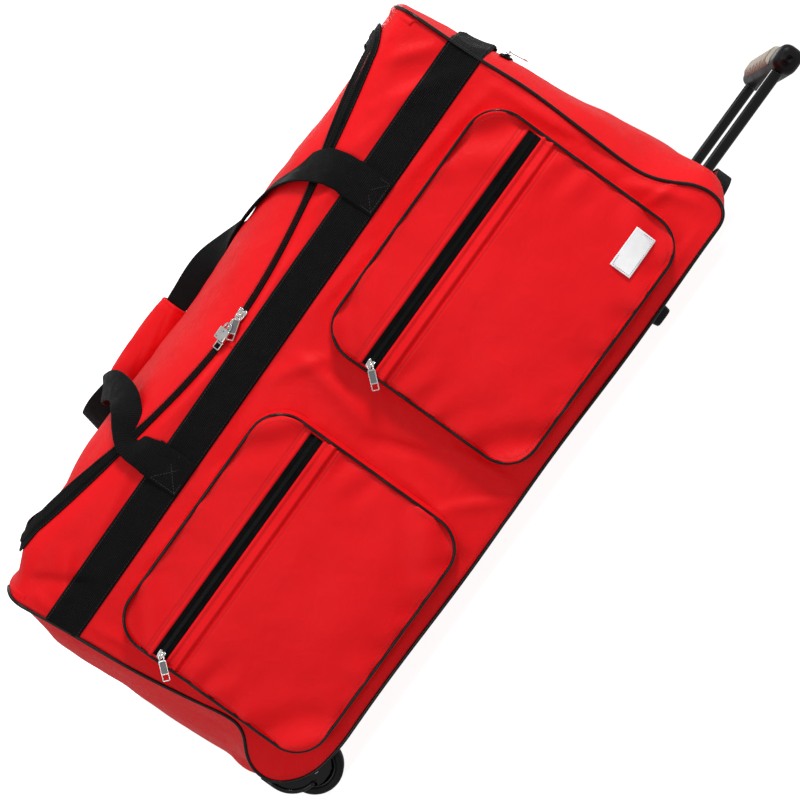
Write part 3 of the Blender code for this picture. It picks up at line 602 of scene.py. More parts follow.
# x, z of both ends, half width, height of the fold
FOLDS = [
    (-.195, .340, -.040, .268, .013, .0050), (-.300, .345, -.190, .300, .013, .0038),
    (-.028, .150, -.062, .040, .011, .0055), (.010, .338, -.012, .205, .014, .0062),
    (.024, .130, .034, .036, .009, .0045), (-.024, .220, .012, .110, .011, -.0050),
    (-.040, .352, .036, .300, .010, .0042), (-.045, .100, .020, .030, .010, .0042),
    (.050, .352, .170, .338, .009, .0034), (.230, .354, .395, .332, .009, .0040),
    (.394, .340, .402, .200, .008, .0046), (.390, .150, .425, .060, .010, .0050),
    (.385, .110, .430, .095, .007, .0035), (.392, .250, .409, .160, .007, -.0035),
    (.100, .040, .240, .034, .007, .0030), (.260, .036, .400, .044, .008, .0035),
    (-.392, .345, -.382, .230, .008, .0045), (-.380, .080, -.330, .035, .011, .0050),
    (-.386, .200, -.350, .060, .008, .0032), (-.290, .038, -.160, .036, .008, .0030),
    (-.110, .346, .020, .352, .009, -.0030), (-.392, .230, -.378, .110, .006, -.0028),
    (.290, .432, .388, .372, .012, .0062), (.345, .452, .398, .410, .010, .0055),
    (.240, .420, .330, .404, .011, .0040), (.160, .425, .215, .405, .012, .0038),
    (-.330, .425, -.405, .385, .012, .0060), (-.210, .420, -.330, .402, .012, .0045),
    (-.398, .446, -.350, .372, .010, -.0048), (-.400, .425, -.408, .395, .007, .0040),
    (-.150, .418, -.040, .404, .012, .0036), (.020, .412, .120, .404, .010, .0030),
]


def fold_height(x, z):
    total = np.zeros(np.shape(x))
    for x0, z0, x1, z1, width, height in FOLDS:
        dx, dz = x1 - x0, z1 - z0
        length = math.hypot(dx, dz)
        t = ((x - x0) * dx + (z - z0) * dz) / length ** 2
        bow = 0.10 * length * np.clip(t, 0, 1) * (1 - np.clip(t, 0, 1))
        d = ((x - x0) * dz - (z - z0) * dx) / length + bow
        taper = np.clip(np.sin(math.pi * np.clip(t * 0.92 + 0.04, 0, 1)), 0, 1) ** 0.8
        total += height * taper * np.exp(-np.where(d > 0, d / width, d / (width * 0.6)) ** 2)
    return total


def rumple(x, z, scale, seed):
    out = np.zeros(x.size)
    for k, (a, b) in enumerate(zip(x.ravel(), z.ravel())):
        out[k] = noise.fractal(Vector((a * scale, seed, b * scale)), 0.9, 2.1, 3)
    return out.reshape(x.shape)


def puff(x, z):
    a = np.clip(1 - (x / 0.425) ** 4, 0, 1)
    b = np.clip(np.sin(math.pi * np.clip((z - 0.028) / 0.43, 0, 1)), 0, 1) ** 0.6
    return 0.0045 * a * b


def front_y(x, z, rough=True):
    """Outside of the front panel, over the shoulder too."""
    x, z = np.broadcast_arrays(np.asarray(x, float), np.asarray(z, float))
    low, crown, n, m = shoulder(x)
    up = np.clip((z - low) / (crown - low), 0, 0.98)
    sine = up ** (1 / (2 * m))
    cosine = np.sqrt(1 - sine ** 2)
    y = -HD * cosine ** (2 / n)
    extra = puff(x, z)
    if rough:
        extra = extra + fold_height(x, z) + 0.0026 * rumple(x, z, 9.0, 3.7)
    return y - extra * np.clip(1.2 - up * 1.5, 0, 1)


# ---------------------------------------------------------------- front panel and its trims
def front_panel():
    cols, low_rows, high_rows = 190, 92, 16
    s = np.linspace(0, 1, cols)
    r = np.linspace(0, 1, low_rows) ** 1.15
    rows = []
    flat_x = -0.42 + 0.84 * s
    bottom = 0.0258
    for v in r:
        x = flat_x.copy()
        for _ in range(3):
            z = bottom + (shoulder(x)[0] - bottom) * v
            x = left_edge(z) + (right_edge(z) - left_edge(z)) * s
        rows.append(np.stack([x, front_y(x, z), z], -1))
    for q in np.linspace(0, 1, high_rows + 1)[1:]:
        x = flat_x.copy()
        keep = 1 - smooth((q - 0.35) / 0.5)
        for _ in range(3):
            theta = q * (zip_theta(x) - 0.5 * tape_reach(x, -1) / 0.24)
            z = roof(x, theta)[..., 2]
            x = left_edge(z) + (right_edge(z) - left_edge(z)) * s
        P = roof(x, theta)
        P[..., 1] = P[..., 1] * (1 - keep) + front_y(x, P[..., 2]) * keep
        rows.append(P)
    panel = grid("front_panel_fabric", rows, RED, thick=FABRIC)
    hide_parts("front_panel")


def edge_line(count=150):
    """The corded edge round the front panel, from the top of one end to the other."""
    zs = np.linspace(0.482, 0.0262, count)
    right = np.stack([right_edge(zs), zs], 1)
    zs2 = np.linspace(0.0268, 0.458, count)
    left = np.stack([left_edge(zs2), zs2], 1)
    xs = np.linspace(0.392, -0.335, 120)[1:-1]
    bottom = np.stack([xs, 0.0252 + 0.0012 * np.sin(xs * 19.0) + 0.0005 * (xs < 0)], 1)
    P = np.vstack([right, bottom, left])
    P = resample(P, np.linspace(0, lengths(P)[-1], 520))
    kernel = np.ones(5) / 5
    for k in range(2):
        P[2:-2, k] = np.convolve(P[:, k], kernel, "valid")
    return P


def front_piping():
    P = edge_line()
    y = front_y(P[:, 0], P[:, 1], rough=False) - 0.0010
    line = np.stack([P[:, 0], y, P[:, 1]], 1)
    cord = tube("front_corded_edge", line, 0.0021, CORD)
    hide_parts("front_piping")
    seam = line + unit((np.array([0.0, 0.0, 0.24]) - line) * (1, 0, 1)) * 0.0058
    seam[:, 1] = front_y(seam[:, 0], seam[:, 2]) - 0.0001
    stitches("front_edge_stitches", seam[6:-6], (0, -1, 0), RED_THREAD)


def band_levels(x):
    low = np.interp(x, [-0.42, 0.0, 0.42], [0.3525, 0.357, 0.3615])
    return low, low + BAND_W


def sewn_band(name, sewn, rows, node, normal, flip=False):
    """Webbing through rows of points, with a row of thread near each edge."""
    band = grid(name, rows, WEB, flip=flip, thick=WEBBING)
    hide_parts(node)
    for row, tag in ((rows[1], "low"), (rows[-2], "high")):
        stitches(f"{sewn}_stitches_{tag}", row, normal, BLACK_THREAD, pitch=0.0040)


def front_band():
    xs = np.linspace(-0.417, 0.409, 420)
    low, high = band_levels(xs)
    rows = []
    for v in np.linspace(0, 1, 17):
        z = low + (high - low) * v
        edge = 0.0012 if v in (0.0, 1.0) else 0.0022
        x = np.clip(xs, left_edge(z) + 0.001, right_edge(z) - 0.001)
        rows.append(np.stack([x, front_y(x, z) - edge, z], -1))
    sewn_band("front_webbing_band", "front_band", rows, "front_band", (0, -1, 0))


def strap_patch(name, x, width, facing):
    """The strap's sewn end over the band, with its box and cross of thread."""
    zs = np.linspace(float(band_levels(np.array(x))[0]) + 0.0005, 0.4080, 26)
    xs = np.linspace(x - width / 2, x + width / 2, 21)
    X, Z = np.meshgrid(xs, zs)
    Y = front_y(X, Z) - 0.0042 if facing < 0 else HD + 0.0040 + 0 * X
    edge = np.minimum(np.minimum(X - xs[0], xs[-1] - X), Z - zs[0])
    Y -= facing * 0.0012 * np.exp(-np.clip(edge, 0, 1) / 0.0012)
    grid(name, np.stack([X, Y, Z], -1), WEB, flip=facing > 0, thick=0.0016)
    z0, z1 = zs[0] + 0.004, zs[0] + 0.038
    a, b = x - width / 2 + 0.004, x + width / 2 - 0.004
    y = float(Y[8, 10]) + facing * 0.0003
    lines = [[(a, z0), (b, z0), (b, z1), (a, z1), (a, z0)], [(a, z0), (b, z1)], [(a, z1), (b, z0)]]
    runs = [along_path([(a, y, b) for a, b in line], 0.0036) for line in lines]
    Q, D = np.vstack([run[0] for run in runs]), np.vstack([run[1] for run in runs])
    many(name + "_stitches", Q, D, np.broadcast_to((0.0, float(facing), 0.0), Q.shape),
         (0.0026, 0.0007, 0.0006), BLACK_THREAD, round_ends=True)


# ---------------------------------------------------------------- lid and main zip
def reach_along(path, side):
    """Tape width along the zip path: as on the front while on the front, full round the ends."""
    return np.where(path[:, 1] < zip_theta(path[:, 0]) + 0.02, tape_reach(path[:, 0], side),
                    tape_reach(np.array(0.4), side))


def theta_speed(x, theta):
    a, b = roof(x, theta - 0.004), roof(x, theta + 0.004)
    return np.linalg.norm(b - a, axis=-1) / 0.008


def zip_path(count=420):
    """The chain's centre line as x and theta, from the back of one end to the back of the other."""
    corner = 0.028
    pts = []
    for side in (-1, 1):
        x_run = side * ZIP_X
        start = zip_theta(np.array(ZIP_X - corner))
        speed = float(theta_speed(np.array(x_run), start + 0.1))
        lift = corner / speed
        line = [(x_run, t) for t in np.linspace(back_theta(), float(start) + lift, 60)]
        arc = [(side * (ZIP_X - corner + corner * math.cos(a)),
                float(start) + lift * (1 - math.sin(a)))
               for a in np.linspace(0, RIGHT_ANGLE, 14)[1:-1]]
        pts.append(line + arc)
    xs = np.linspace(-(ZIP_X - corner), ZIP_X - corner, 240)
    front = [(x, float(zip_theta(np.array(x)))) for x in xs]
    return np.array(pts[0] + front + pts[1][::-1])


def offset_path(path, d):
    """Moves the x, theta path sideways over the surface, inwards where d is positive."""
    speed = theta_speed(path[:, 0], path[:, 1])
    T = np.gradient(path, axis=0)
    T[:, 1] *= speed
    T = unit(T)
    out = path.copy()
    out[:, 0] += -T[:, 1] * d
    out[:, 1] += T[:, 0] * d / speed
    out[:, 1] = np.minimum(out[:, 1], back_theta())
    return out


def surface_normal(path):
    a = roof(path[:, 0] + 0.001, path[:, 1]) - roof(path[:, 0] - 0.001, path[:, 1])
    b = roof(path[:, 0], path[:, 1] + 0.005) - roof(path[:, 0], path[:, 1] - 0.005)
    return unit(np.cross(a, b))


def strip(path, d0, d1, cols, lift):
    rows = []
    for v in np.linspace(0, 1, cols):
        p = offset_path(path, d0 * (1 - v) + d1 * v)
        rows.append(roof(p[:, 0], p[:, 1]) + surface_normal(p) * lift)
    return np.array(rows)


def lid_sag(x, theta):
    """Soft hollows and folds of the unfilled lid, fading at its seams."""
    past = theta - zip_theta(x)
    inner = smooth((past - 0.06) / 0.45) * smooth((back_theta() - theta) / 0.5) * smooth(
        (ZIP_X - 0.012 - np.abs(x)) / 0.06)
    wave = 0.0030 * np.sin(x * 13.0 + 2.2 * theta) + 0.0020 * np.sin(x * 31.0 - 4.1 * theta + 0.8)
    wave = wave * smooth((theta - 1.75) / 0.6)
    lift = 0.0040 * smooth((x + 0.06) / 0.12) * smooth((0.300 - x) / 0.12)
    ends = -0.0080 * smooth((np.abs(x) - 0.215) / 0.10) * smooth(past / 0.30) * smooth(
        (back_theta() - theta) / 0.5)
    return inner * (wave + lift + 0.0045 * rumple(x, theta * 0.13, 9.0, 1.3)) + ends


def lid():
    xs = np.linspace(-ZIP_X + 0.0115, ZIP_X - 0.0115, 170)
    q = np.linspace(0, 1, 90)
    X, Q = np.meshgrid(xs, q)
    start = zip_theta(X) + (tape_reach(X, 1) - 0.0015) / theta_speed(X, zip_theta(X) + 0.05)
    T = start + (back_theta() - start) * Q
    P = roof(X, T)
    P[..., 2] += lid_sag(X, T)
    panel = grid("lid_panel_fabric", P, RED, "lid", thick=FABRIC)
    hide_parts("lid_panel")
    path = zip_path()
    outer, inner = reach_along(path, -1), reach_along(path, 1)
    for tag, rows in (("lid", strip(path, 0.0030, inner, 7, 0.0011)),
                      ("shell", strip(path, -outer, -0.0010, 6, 0.0012))):
        tape = grid(f"main_zip_{tag}_tape_knit", rows, TAPE, tag, thick=0.0009, side=0.0)
        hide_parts(f"main_zip_{tag}_tape")

    def on_zip(d, lift, pitch, start=0.0):
        """Points, directions and normals along the zip, a distance d inside the chain."""
        Q, D = along_path(strip(path, d, d, 1, lift)[0], pitch, start)
        t, s = np.linspace(0, 1, len(Q)), np.linspace(0, 1, len(path))
        return Q, D, np.stack([np.interp(t, s, column) for column in surface_normal(path).T], 1)

    for tag, d, start in (("shell", -0.0019, 0.0), ("lid", 0.0019, 0.0013)):
        Q, D, N = on_zip(d, 0.0017, 0.0026, start)
        many("main_zip_teeth_" + tag, Q, np.cross(N, D), N, (0.0042, 0.0015, 0.0016), TEETH, tag)
    for tag, d in (("shell", 0.0012 - outer), ("lid", inner - 0.0012)):
        Q, D, N = on_zip(d, 0.0018, 0.0042)
        many("main_zip_stitches_" + tag, Q, D, N, (0.0029, 0.0006, 0.0005), BLACK_THREAD, tag, True)
    reach = inner + 0.0026
    seam = strip(path, reach, reach, 1, 0.0004)[0]
    keep = seam[:, 1] < 0.17
    seam = seam[keep]
    p2 = offset_path(path, reach)[keep]
    seam[:, 2] += lid_sag(p2[:, 0], p2[:, 1])
    stitches("lid_edge_stitches", seam, (0, 0, 1), RED_THREAD, "lid")


# ---------------------------------------------------------------- ends, back and base
BULGE = {
    1: [(.0265, .004), (.0385, .028), (.050, .035), (.061, .040), (.087, .046), (.120, .051),
        (.162, .0487), (.215, .0392), (.244, .031), (.287, .0267), (.329, .0254), (.3585, .0235),
        (.377, .0165), (.418, .011), (.438, .0072), (.484, .002)],
    -1: [(.0265, .0), (.050, .010), (.070, .022), (.090, .031), (.1085, .033), (.152, .038),
         (.208, .041), (.281, .0395), (.333, .041), (.372, .038), (.390, .031), (.410, .020),
         (.440, .009), (.465, .0)],
}


def end_bulge(y, z, end):
    span = np.clip(1 - np.abs(y / PANEL_EDGE) ** 4.5, 0, 1)
    zs, amounts = np.array(BULGE[1 if end > 0 else -1]).T
    soft = sum(np.interp(z + d, zs, amounts) for d in (-0.012, -0.006, 0.0, 0.006, 0.012)) / 5
    if end < 0:
        soft = soft * (1 - smooth((np.abs(y) - 0.125) / 0.045) * smooth((0.130 - z) / 0.050))
    return soft * span


def plain_edge(z):
    drop = np.clip(BASE + 0.035 - z, 0, 0.035)
    return HL - 0.035 + np.sqrt(0.035 ** 2 - drop ** 2)


def end_x(y, z, end, rough=True):
    """Outside of an end panel, from the wavy front edge to the plain back edge."""
    front = (right_edge(z) if end > 0 else -left_edge(z)) + 0.0005
    back = plain_edge(z)
    w = smooth((y + PANEL_EDGE) / 0.150)
    x = front * (1 - w) + back * w + end_bulge(y, z, end)
    if rough:
        fade = np.clip((PANEL_EDGE - np.abs(y)) / 0.03, 0, 1)
        x = x + fade * (0.0016 * np.sin(y * 38 + z * 22 + end) * np.sin(z * 19 + 1.0)
                        + 0.0040 * rumple(y, z, 8.0, 5.0 + end))
    return x


def end_panel(end, name, node):
    cols = 90
    ys = PANEL_EDGE * np.sin(np.linspace(-1, 1, cols) * math.pi / 2 * 0.93) / math.sin(
        math.pi / 2 * 0.93)
    rows = []

    def top_at(x):
        """Height of the roof over each y for a distance x from the middle."""
        x = np.broadcast_to(x, ys.shape) * end
        out = np.zeros(ys.shape)
        for back in (False, True):
            low, crown, n, m = shoulder(x, back)
            z = low + (crown - low) * (1 - np.clip(np.abs(ys) / HD, 0, 1) ** n) ** m
            out = np.where((ys >= 0) == back, z, out)
        return out

    top = top_at(0.408)
    fillet = 0.012
    for v in np.linspace(0, 1, 72):
        z = BASE + 0.0005 + (top - fillet - BASE - 0.0005) * v ** 1.1
        x = end_x(ys, z, end)
        rows.append(np.stack([end * x, ys, z], -1))
    edge = end_x(ys, top - fillet, end)
    for a in np.linspace(0, math.pi / 2, 7)[1:]:
        x = edge - fillet * (1 - math.cos(a))
        z = top - fillet + fillet * math.sin(a)
        rows.append(np.stack([end * x, ys, z], -1))
    inner = ZIP_X + 0.0060
    for q in np.linspace(0, 1, 9)[1:]:
        x = (edge - fillet) * (1 - q) + inner * q
        z = np.where(x < 0.408, top_at(np.minimum(x, 0.408)), top) - 0.0022 * min(1.0, q * 4)
        rows.append(np.stack([end * x, ys * (1 - 0.022 * min(1.0, q * 4)), z], -1))
    panel = grid(name, rows, RED, flip=end < 0, thick=FABRIC)
    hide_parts(node)
    return panel


def handle_end_band():
    ys = np.linspace(-0.2135, 0.2125, 150)
    rows = []
    low0, high0 = band_levels(np.array(0.42))
    for v in np.linspace(0, 1, 13):
        w = np.clip((ys + 0.21) / 0.42, 0, 1)
        z = low0 * (1 - w) + BAND_Z * w + (high0 - low0) * v
        pucker = 0.0012 * np.sin(ys * 95 + v * 2.0) * np.abs(v - 0.5) * 2
        edge = 0.0006 if v in (0.0, 1.0) else 0.0020
        fade = np.clip((PANEL_EDGE - np.abs(ys)) / 0.02, 0, 1)
        x = end_x(ys, z, 1, False) + edge + (pucker + 0.0018) * fade
        rows.append(np.stack([x, ys, z], -1))
    sewn_band("handle_end_webbing_band", "handle_end_webbing_band", rows, "handle_end_band",
              (1, 0, 0))


def back_panel():
    s = np.linspace(-1, 1, 150)
    rows = []
    for v in np.linspace(0, 1, 70) ** 1.1:
        z = np.full(s.shape, BASE + 0.0045 + (0.400 - BASE - 0.0045) * v)
        x = s * (plain_edge(z) - 0.0008)
        y = HD - 0.0005 + puff(x, z) + 0.0022 * rumple(x, z, 9.0, 8.8) * np.clip(
            (0.41 - np.abs(x)) / 0.05, 0, 1)
        rows.append(np.stack([x, y, z], -1))
    for q in np.linspace(0, 1, 11)[1:]:
        theta = math.pi - q * (math.pi - back_theta())
        x = s * (HL - 0.0010 + (ZIP_X + 0.008 - HL) * q ** 2)
        rows.append(roof(x, theta))
    panel = grid("back_panel_fabric", rows, RED, flip=True, thick=FABRIC)
    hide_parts("back_panel")
    xs = np.linspace(-0.4185, 0.4185, 240)
    rows = []
    for v in np.linspace(0, 1, 13):
        z = np.full(xs.shape, BAND_Z + BAND_W * v)
        edge = 0.0006 if v in (0.0, 1.0) else 0.0018
        rows.append(np.stack([xs, HD - 0.0005 + puff(xs, z) + edge + 0.0008, z], -1))
    sewn_band("back_webbing_band", "back_band", rows, "back_band", (0, 1, 0), flip=True)


def well_cut(obj, outward=WELL_HALF):
    """Opens the fabric where the wheels sit."""
    for facing in (-1, 1):
        ys = sorted((facing * (WELL_Y - WELL_HALF), facing * (WELL_Y + outward)))
        verts = [(x, y, z) for x in (-0.52, -0.3345) for y in ys for z in (-0.02, 0.0790)]
        faces = [(0, 1, 3, 2), (4, 6, 7, 5), (0, 4, 5, 1), (2, 3, 7, 6), (0, 2, 6, 4), (1, 5, 7, 3)]
        cutter = mesh_object("cutter", verts, faces)
        mod = obj.modifiers.new("well", "BOOLEAN")
        mod.operation = "DIFFERENCE"
        mod.solver = "EXACT"
        mod.object = cutter
        bpy.context.view_layer.update()
        graph = bpy.context.evaluated_depsgraph_get()
        mesh = bpy.data.meshes.new_from_object(obj.evaluated_get(graph))
        obj.modifiers.clear()
        obj.data = mesh
        bpy.data.objects.remove(cutter)


def base_panel():
    xs = np.linspace(-0.392, 0.400, 100)
    ys = np.linspace(-0.2135, 0.2135, 60)
    X, Y = np.meshgrid(xs, ys)
    side = np.clip((0.2135 - np.abs(Y)) / 0.02, 0, 1)
    Z = BASE - 0.0012 - 0.0010 * side * np.abs(np.sin(Y * 37)) ** 0.5
    panel = grid("base_panel_fabric", np.stack([X, Y, Z], -1), RED, flip=True, thick=FABRIC)
    well_cut(panel, 0.0240)
    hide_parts("base_panel")


front_panel()
front_piping()
front_band()
lid()
well_cut(end_panel(-1, "wheel_end_panel_fabric", "wheel_end_panel"))
end_panel(1, "handle_end_panel_fabric", "handle_end_panel")
handle_end_band()
back_panel()
base_panel()


# ---------------------------------------------------------------- pockets
def ring(x0, z0, x1, z1, r, count=220):
    """Points round a rounded rectangle in x and z at even spacing."""
    P = np.array(rounded(x0, z0, x1, z1, r, 14))
    P = np.vstack([P, P[:1]])
    return resample(P, np.linspace(0, lengths(P)[-1], count, endpoint=False))


def pocket_face_y(x, z, x0, x1, seed, detail=True):
    xc, zc = (x0 + x1) / 2, (POCKET_LOW + POCKET_HIGH) / 2
    a, b = (x1 - x0) / 2, (POCKET_HIGH - POCKET_LOW) / 2
    u, v = (x - xc) / a, (z - zc) / b
    crown = 0.0045 * np.clip(1 - np.abs(u) ** 5, 0, 1) * np.clip(1 - np.abs(v) ** 4, 0, 1)
    y = POCKET_FACE_Y - crown
    if not detail:
        return y
    d = z - POCKET_ZIP_Z
    y += 0.0020 * np.exp(-(d / 0.0088) ** 8)
    y -= 0.0008 * (np.exp(-((np.abs(d) - 0.0112) / 0.0016) ** 2))
    y -= 0.0030 * np.exp(-((d + 0.0225) / 0.0036) ** 2)
    y += 0.0026 * np.exp(-((d + 0.0272) / 0.0018) ** 2)
    for g in POCKET_SEAMS:
        y += 0.0007 * np.exp(-((d - g) / 0.0011) ** 2)
    edge = np.minimum(a - np.abs(x - xc), b - np.abs(z - zc))
    around = np.arctan2(v, u)
    y += 0.0010 * np.exp(-edge / 0.012) * np.sin(around * 27 + seed) * np.sin(around * 11 - seed)
    fan = np.exp(-(((np.abs(u) - 0.88) / 0.16) ** 2 + ((v - 0.10) / 0.30) ** 2))
    y -= 0.0022 * fan * np.sin(v * 21 + u * 5 + seed)
    y -= 0.0018 * np.exp(-((v + 0.93) / 0.10) ** 2) * np.sin(u * 17 + seed * 3)
    corner = np.clip(np.abs(u) + np.abs(v) - 1.15, 0, 1)
    y -= 0.0080 * corner * np.sin((u * v) * 14 + seed * 2)
    y -= 0.0036 * rumple(x, z, 7.0, seed)
    return y


def pocket(tag):
    x0, x1, seed = POCKETS[tag]
    zs = np.concatenate([
        POCKET_LOW + (0.215 - POCKET_LOW) * np.linspace(0, 1, 50)[:-1] ** 1.25,
        np.linspace(0.215, 0.285, 82)[:-1],
        0.285 + (POCKET_HIGH - 0.285) * (1 - (1 - np.linspace(0, 1, 24)) ** 1.3)])
    s = np.linspace(-1, 1, 130)
    rows = []
    b, zc = (POCKET_HIGH - POCKET_LOW) / 2, (POCKET_LOW + POCKET_HIGH) / 2
    for z in zs:
        over = max(abs(z - zc) - (b - POCKET_R), 0.0)
        half = (x1 - x0) / 2 - POCKET_R + math.sqrt(max(POCKET_R ** 2 - over ** 2, 0.0))
        x = (x0 + x1) / 2 + s * half
        zz = np.full(x.shape, z)
        rows.append(np.stack([x, pocket_face_y(x, zz, x0, x1, seed), zz], -1))
    face = grid(f"pocket_face_{tag}", rows, RED, thick=0.0018)
    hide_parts("pocket_" + tag)
    outer = ring(x0, POCKET_LOW, x1, POCKET_HIGH, POCKET_R)
    out = unit(outer - np.array([np.clip(outer[:, 0], x0 + POCKET_R, x1 - POCKET_R),
                                 np.clip(outer[:, 1], POCKET_LOW + POCKET_R,
                                         POCKET_HIGH - POCKET_R)]).T)
    phase = np.arange(len(outer)) / len(outer) * 2 * math.pi
    wall = []
    y_face = pocket_face_y(outer[:, 0], outer[:, 1], x0, x1, seed, False)
    y_base = front_y(*(outer + out * 0.006).T, False) + 0.0012
    for k in np.linspace(0, 1, 10):
        swell = 0.0022 + 0.0010 * np.sin(phase * 19 + seed)
        reach = 0.0005 + 0.0050 * k ** 1.3 + swell * math.sin(math.pi * k)
        at = outer + out * np.reshape(reach, (-1, 1))
        wall.append(np.stack([at[:, 0], y_face * (1 - k) + y_base * k, at[:, 1]], -1))
    grid(f"pocket_gusset_{tag}", wall, RED, flip=True, thick=0.0016, wrap=True)
    lip = outer + out * 0.0012
    y = pocket_face_y(outer[:, 0], outer[:, 1], x0, x1, seed, False) - 0.0012
    wobble = 0.0007 * np.sin(phase * 13 + seed) + 0.0005 * np.sin(phase * 29)
    cord = tube(f"pocket_corded_edge_{tag}", np.stack([lip[:, 0], y + wobble, lip[:, 1]], 1),
                0.0019, CORD, closed=True)
    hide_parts("pocket_piping_" + tag)
    seam = ring(x0 + 0.0052, POCKET_LOW + 0.0052, x1 - 0.0052, POCKET_HIGH - 0.0052, 0.0350, 400)
    ys = pocket_face_y(seam[:, 0], seam[:, 1], x0, x1, seed)
    stitches(f"pocket_edge_stitches_{tag}", np.stack([seam[:, 0], ys, seam[:, 1]], 1),
             (0, -1, 0), RED_THREAD, pitch=0.0040)
    xs = np.linspace(x0 + 0.0035, x1 - 0.0035, 120)
    for g in POCKET_SEAMS:
        z = np.full(xs.shape, POCKET_ZIP_Z + g)
        stitches(f"pocket_zip_stitches_{tag}_{round(g * 10000 + 500)}",
                 np.stack([xs, pocket_face_y(xs, z, x0, x1, seed), z], 1), (0, -1, 0),
                 RED_THREAD, pitch=0.0036)
    rows = []
    for d in np.linspace(-0.0086, 0.0086, 7):
        z = np.full(xs.shape, POCKET_ZIP_Z + d)
        rows.append(np.stack([xs, pocket_face_y(xs, z, x0, x1, seed) - 0.0006, z], -1))
    tape = grid(f"pocket_zip_tape_knit_{tag}", rows, TAPE, thick=0.0008)
    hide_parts("pocket_zip_tape_" + tag)
    for d, start, where in TOOTH_ROWS:
        z = np.full(xs.shape, POCKET_ZIP_Z + d)
        line = np.stack([xs, pocket_face_y(xs, z, x0, x1, seed) - 0.0013, z], 1)
        small_teeth(f"pocket_zip_teeth_{tag}_{where}", line, (0.0, -1.0, 0.0), start)


pocket("wheel_side")
pocket("handle_side")


def blank_label():
    x0, x1, z0, z1 = 0.306, 0.359, 0.0775, 0.1055
    X, Z = np.meshgrid(np.linspace(x0, x1, 41), np.linspace(z0, z1, 25))
    edge = np.minimum(np.minimum(X - x0, x1 - X), np.minimum(Z - z0, z1 - Z))
    cloth = pocket_face_y(X, Z, *POCKETS["handle_side"])
    u, v = (X - (x0 + x1) / 2) / (x1 - x0), (Z - (z0 + z1) / 2) / (z1 - z0)
    terms = np.stack([u ** 0, u, v, u * v, u ** 2, v ** 2], -1)
    card = terms @ np.linalg.lstsq(terms.reshape(-1, 6), cloth.ravel(), rcond=None)[0]
    Y = card - np.max(card - cloth) - 0.0009 - 0.0004 * np.exp(-((edge - 0.0008) / 0.0007) ** 2)
    tag = grid("blank_label_card", np.stack([X, Y, Z], -1), LABEL, thick=0.0010)
    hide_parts("blank_label")
    loop = np.array(rounded(x0 + 0.0022, z0 + 0.0022, x1 - 0.0022, z1 - 0.0022, 0.0012, 3))
    loop = np.vstack([loop, loop[:1]])
    P = np.stack([loop[:, 0], np.interp(loop[:, 0], [x0, x1], [Y[12, 0], Y[12, -1]]) - 0.0003,
                  loop[:, 1]], 1)
    stitches("label_stitches", P, (0, -1, 0), GREY_THREAD, pitch=0.0026)


blank_label()


# ---------------------------------------------------------------- carry handles
def handle_stations(facing):
    """Point, normal, width and thickness along a carry handle, from its foot near the telescope."""
    s = [
        (.213, -.2198, .362, 0, -1, 0, .0455, .0030), (.213, -.2212, .398, 0, -1, 0, .0455, .0030),
        (.2120, -.2215, .420, 0, -.97, .22, .045, .0030),
        (.2050, -.2140, .4420, .04, -.80, .60, .044, .0030),
        (.188, -.1880, .4620, .12, -.35, .93, .042, .0030),
        (.160, -.1500, .4770, .14, -.05, .99, .042, .0030),
        (.120, -.1060, .4880, .05, .00, .99, .043, .0030),
        (.084, -.0680, .4930, 0, -.10, .99, .044, .0032),
        (.050, -.0380, .4960, 0, -.66, .75, .044, .0034),
        (.014, -.0160, .5010, 0, -1, .25, .041, .0040),
        (-.025, -.0075, .5050, 0, -1, 0, .032, .0056),
        (-.060, -.0055, .5052, 0, -1, 0, .026, .0066),
        (-.110, -.0055, .5052, 0, -1, 0, .026, .0066),
        (-.155, -.0058, .5050, 0, -1, 0, .027, .0062),
        (-.176, -.0120, .5070, -.30, -.93, .2, .033, .0046),
        (-.183, -.0400, .5110, -.45, -.70, .55, .036, .0034),
        (-.172, -.0950, .5090, -.25, -.62, .74, .037, .0030),
        (-.156, -.1450, .4980, -.10, -.80, .60, .038, .0030),
        (-.154, -.1780, .4800, .05, -.96, .30, .038, .0030),
        (-.166, -.1960, .4620, .40, -.92, .10, .037, .0030),
        (-.1840, -.2060, .4480, .80, -.60, .10, .034, .0032),
        (-.1920, -.2140, .4350, .62, -.78, .10, .036, .0032),
        (-.1895, -.2208, .4180, .20, -.98, .05, .040, .0030),
        (-.188, -.2212, .398, 0, -1, 0, .0455, .0030),
        (-.188, -.2198, .362, 0, -1, 0, .0455, .0030),
    ]
    rear = facing > 0
    if rear:
        s = s[:14] + [
            (-.184, -.0100, .5070, -.05, 1, 0, .033, .0046),
            (-.216, -.0240, .5110, -.20, .97, .05, .037, .0034),
            (-.240, -.0560, .5110, -.75, .60, .15, .038, .0030),
            (-.245, -.1000, .5060, -.95, -.05, .35, .040, .0030),
            (-.236, -.1480, .4930, -.60, -.25, .75, .042, .0030),
            (-.214, -.1920, .4660, -.20, -.80, .55, .044, .0030),
            (-.194, -.2190, .4280, 0, -.97, .15, .0455, .0030),
            (-.188, -.2212, .398, 0, -1, 0, .0455, .0030),
            (-.188, -.2198, .362, 0, -1, 0, .0455, .0030)]
    s = np.array(s, float)
    if rear:
        s[:, 1] *= -1
        s[:, 4] *= -1
        s[8:10, 2] += 0.001
        s[[0, 1, -2, -1], 1] = HD + 0.0050
    return s


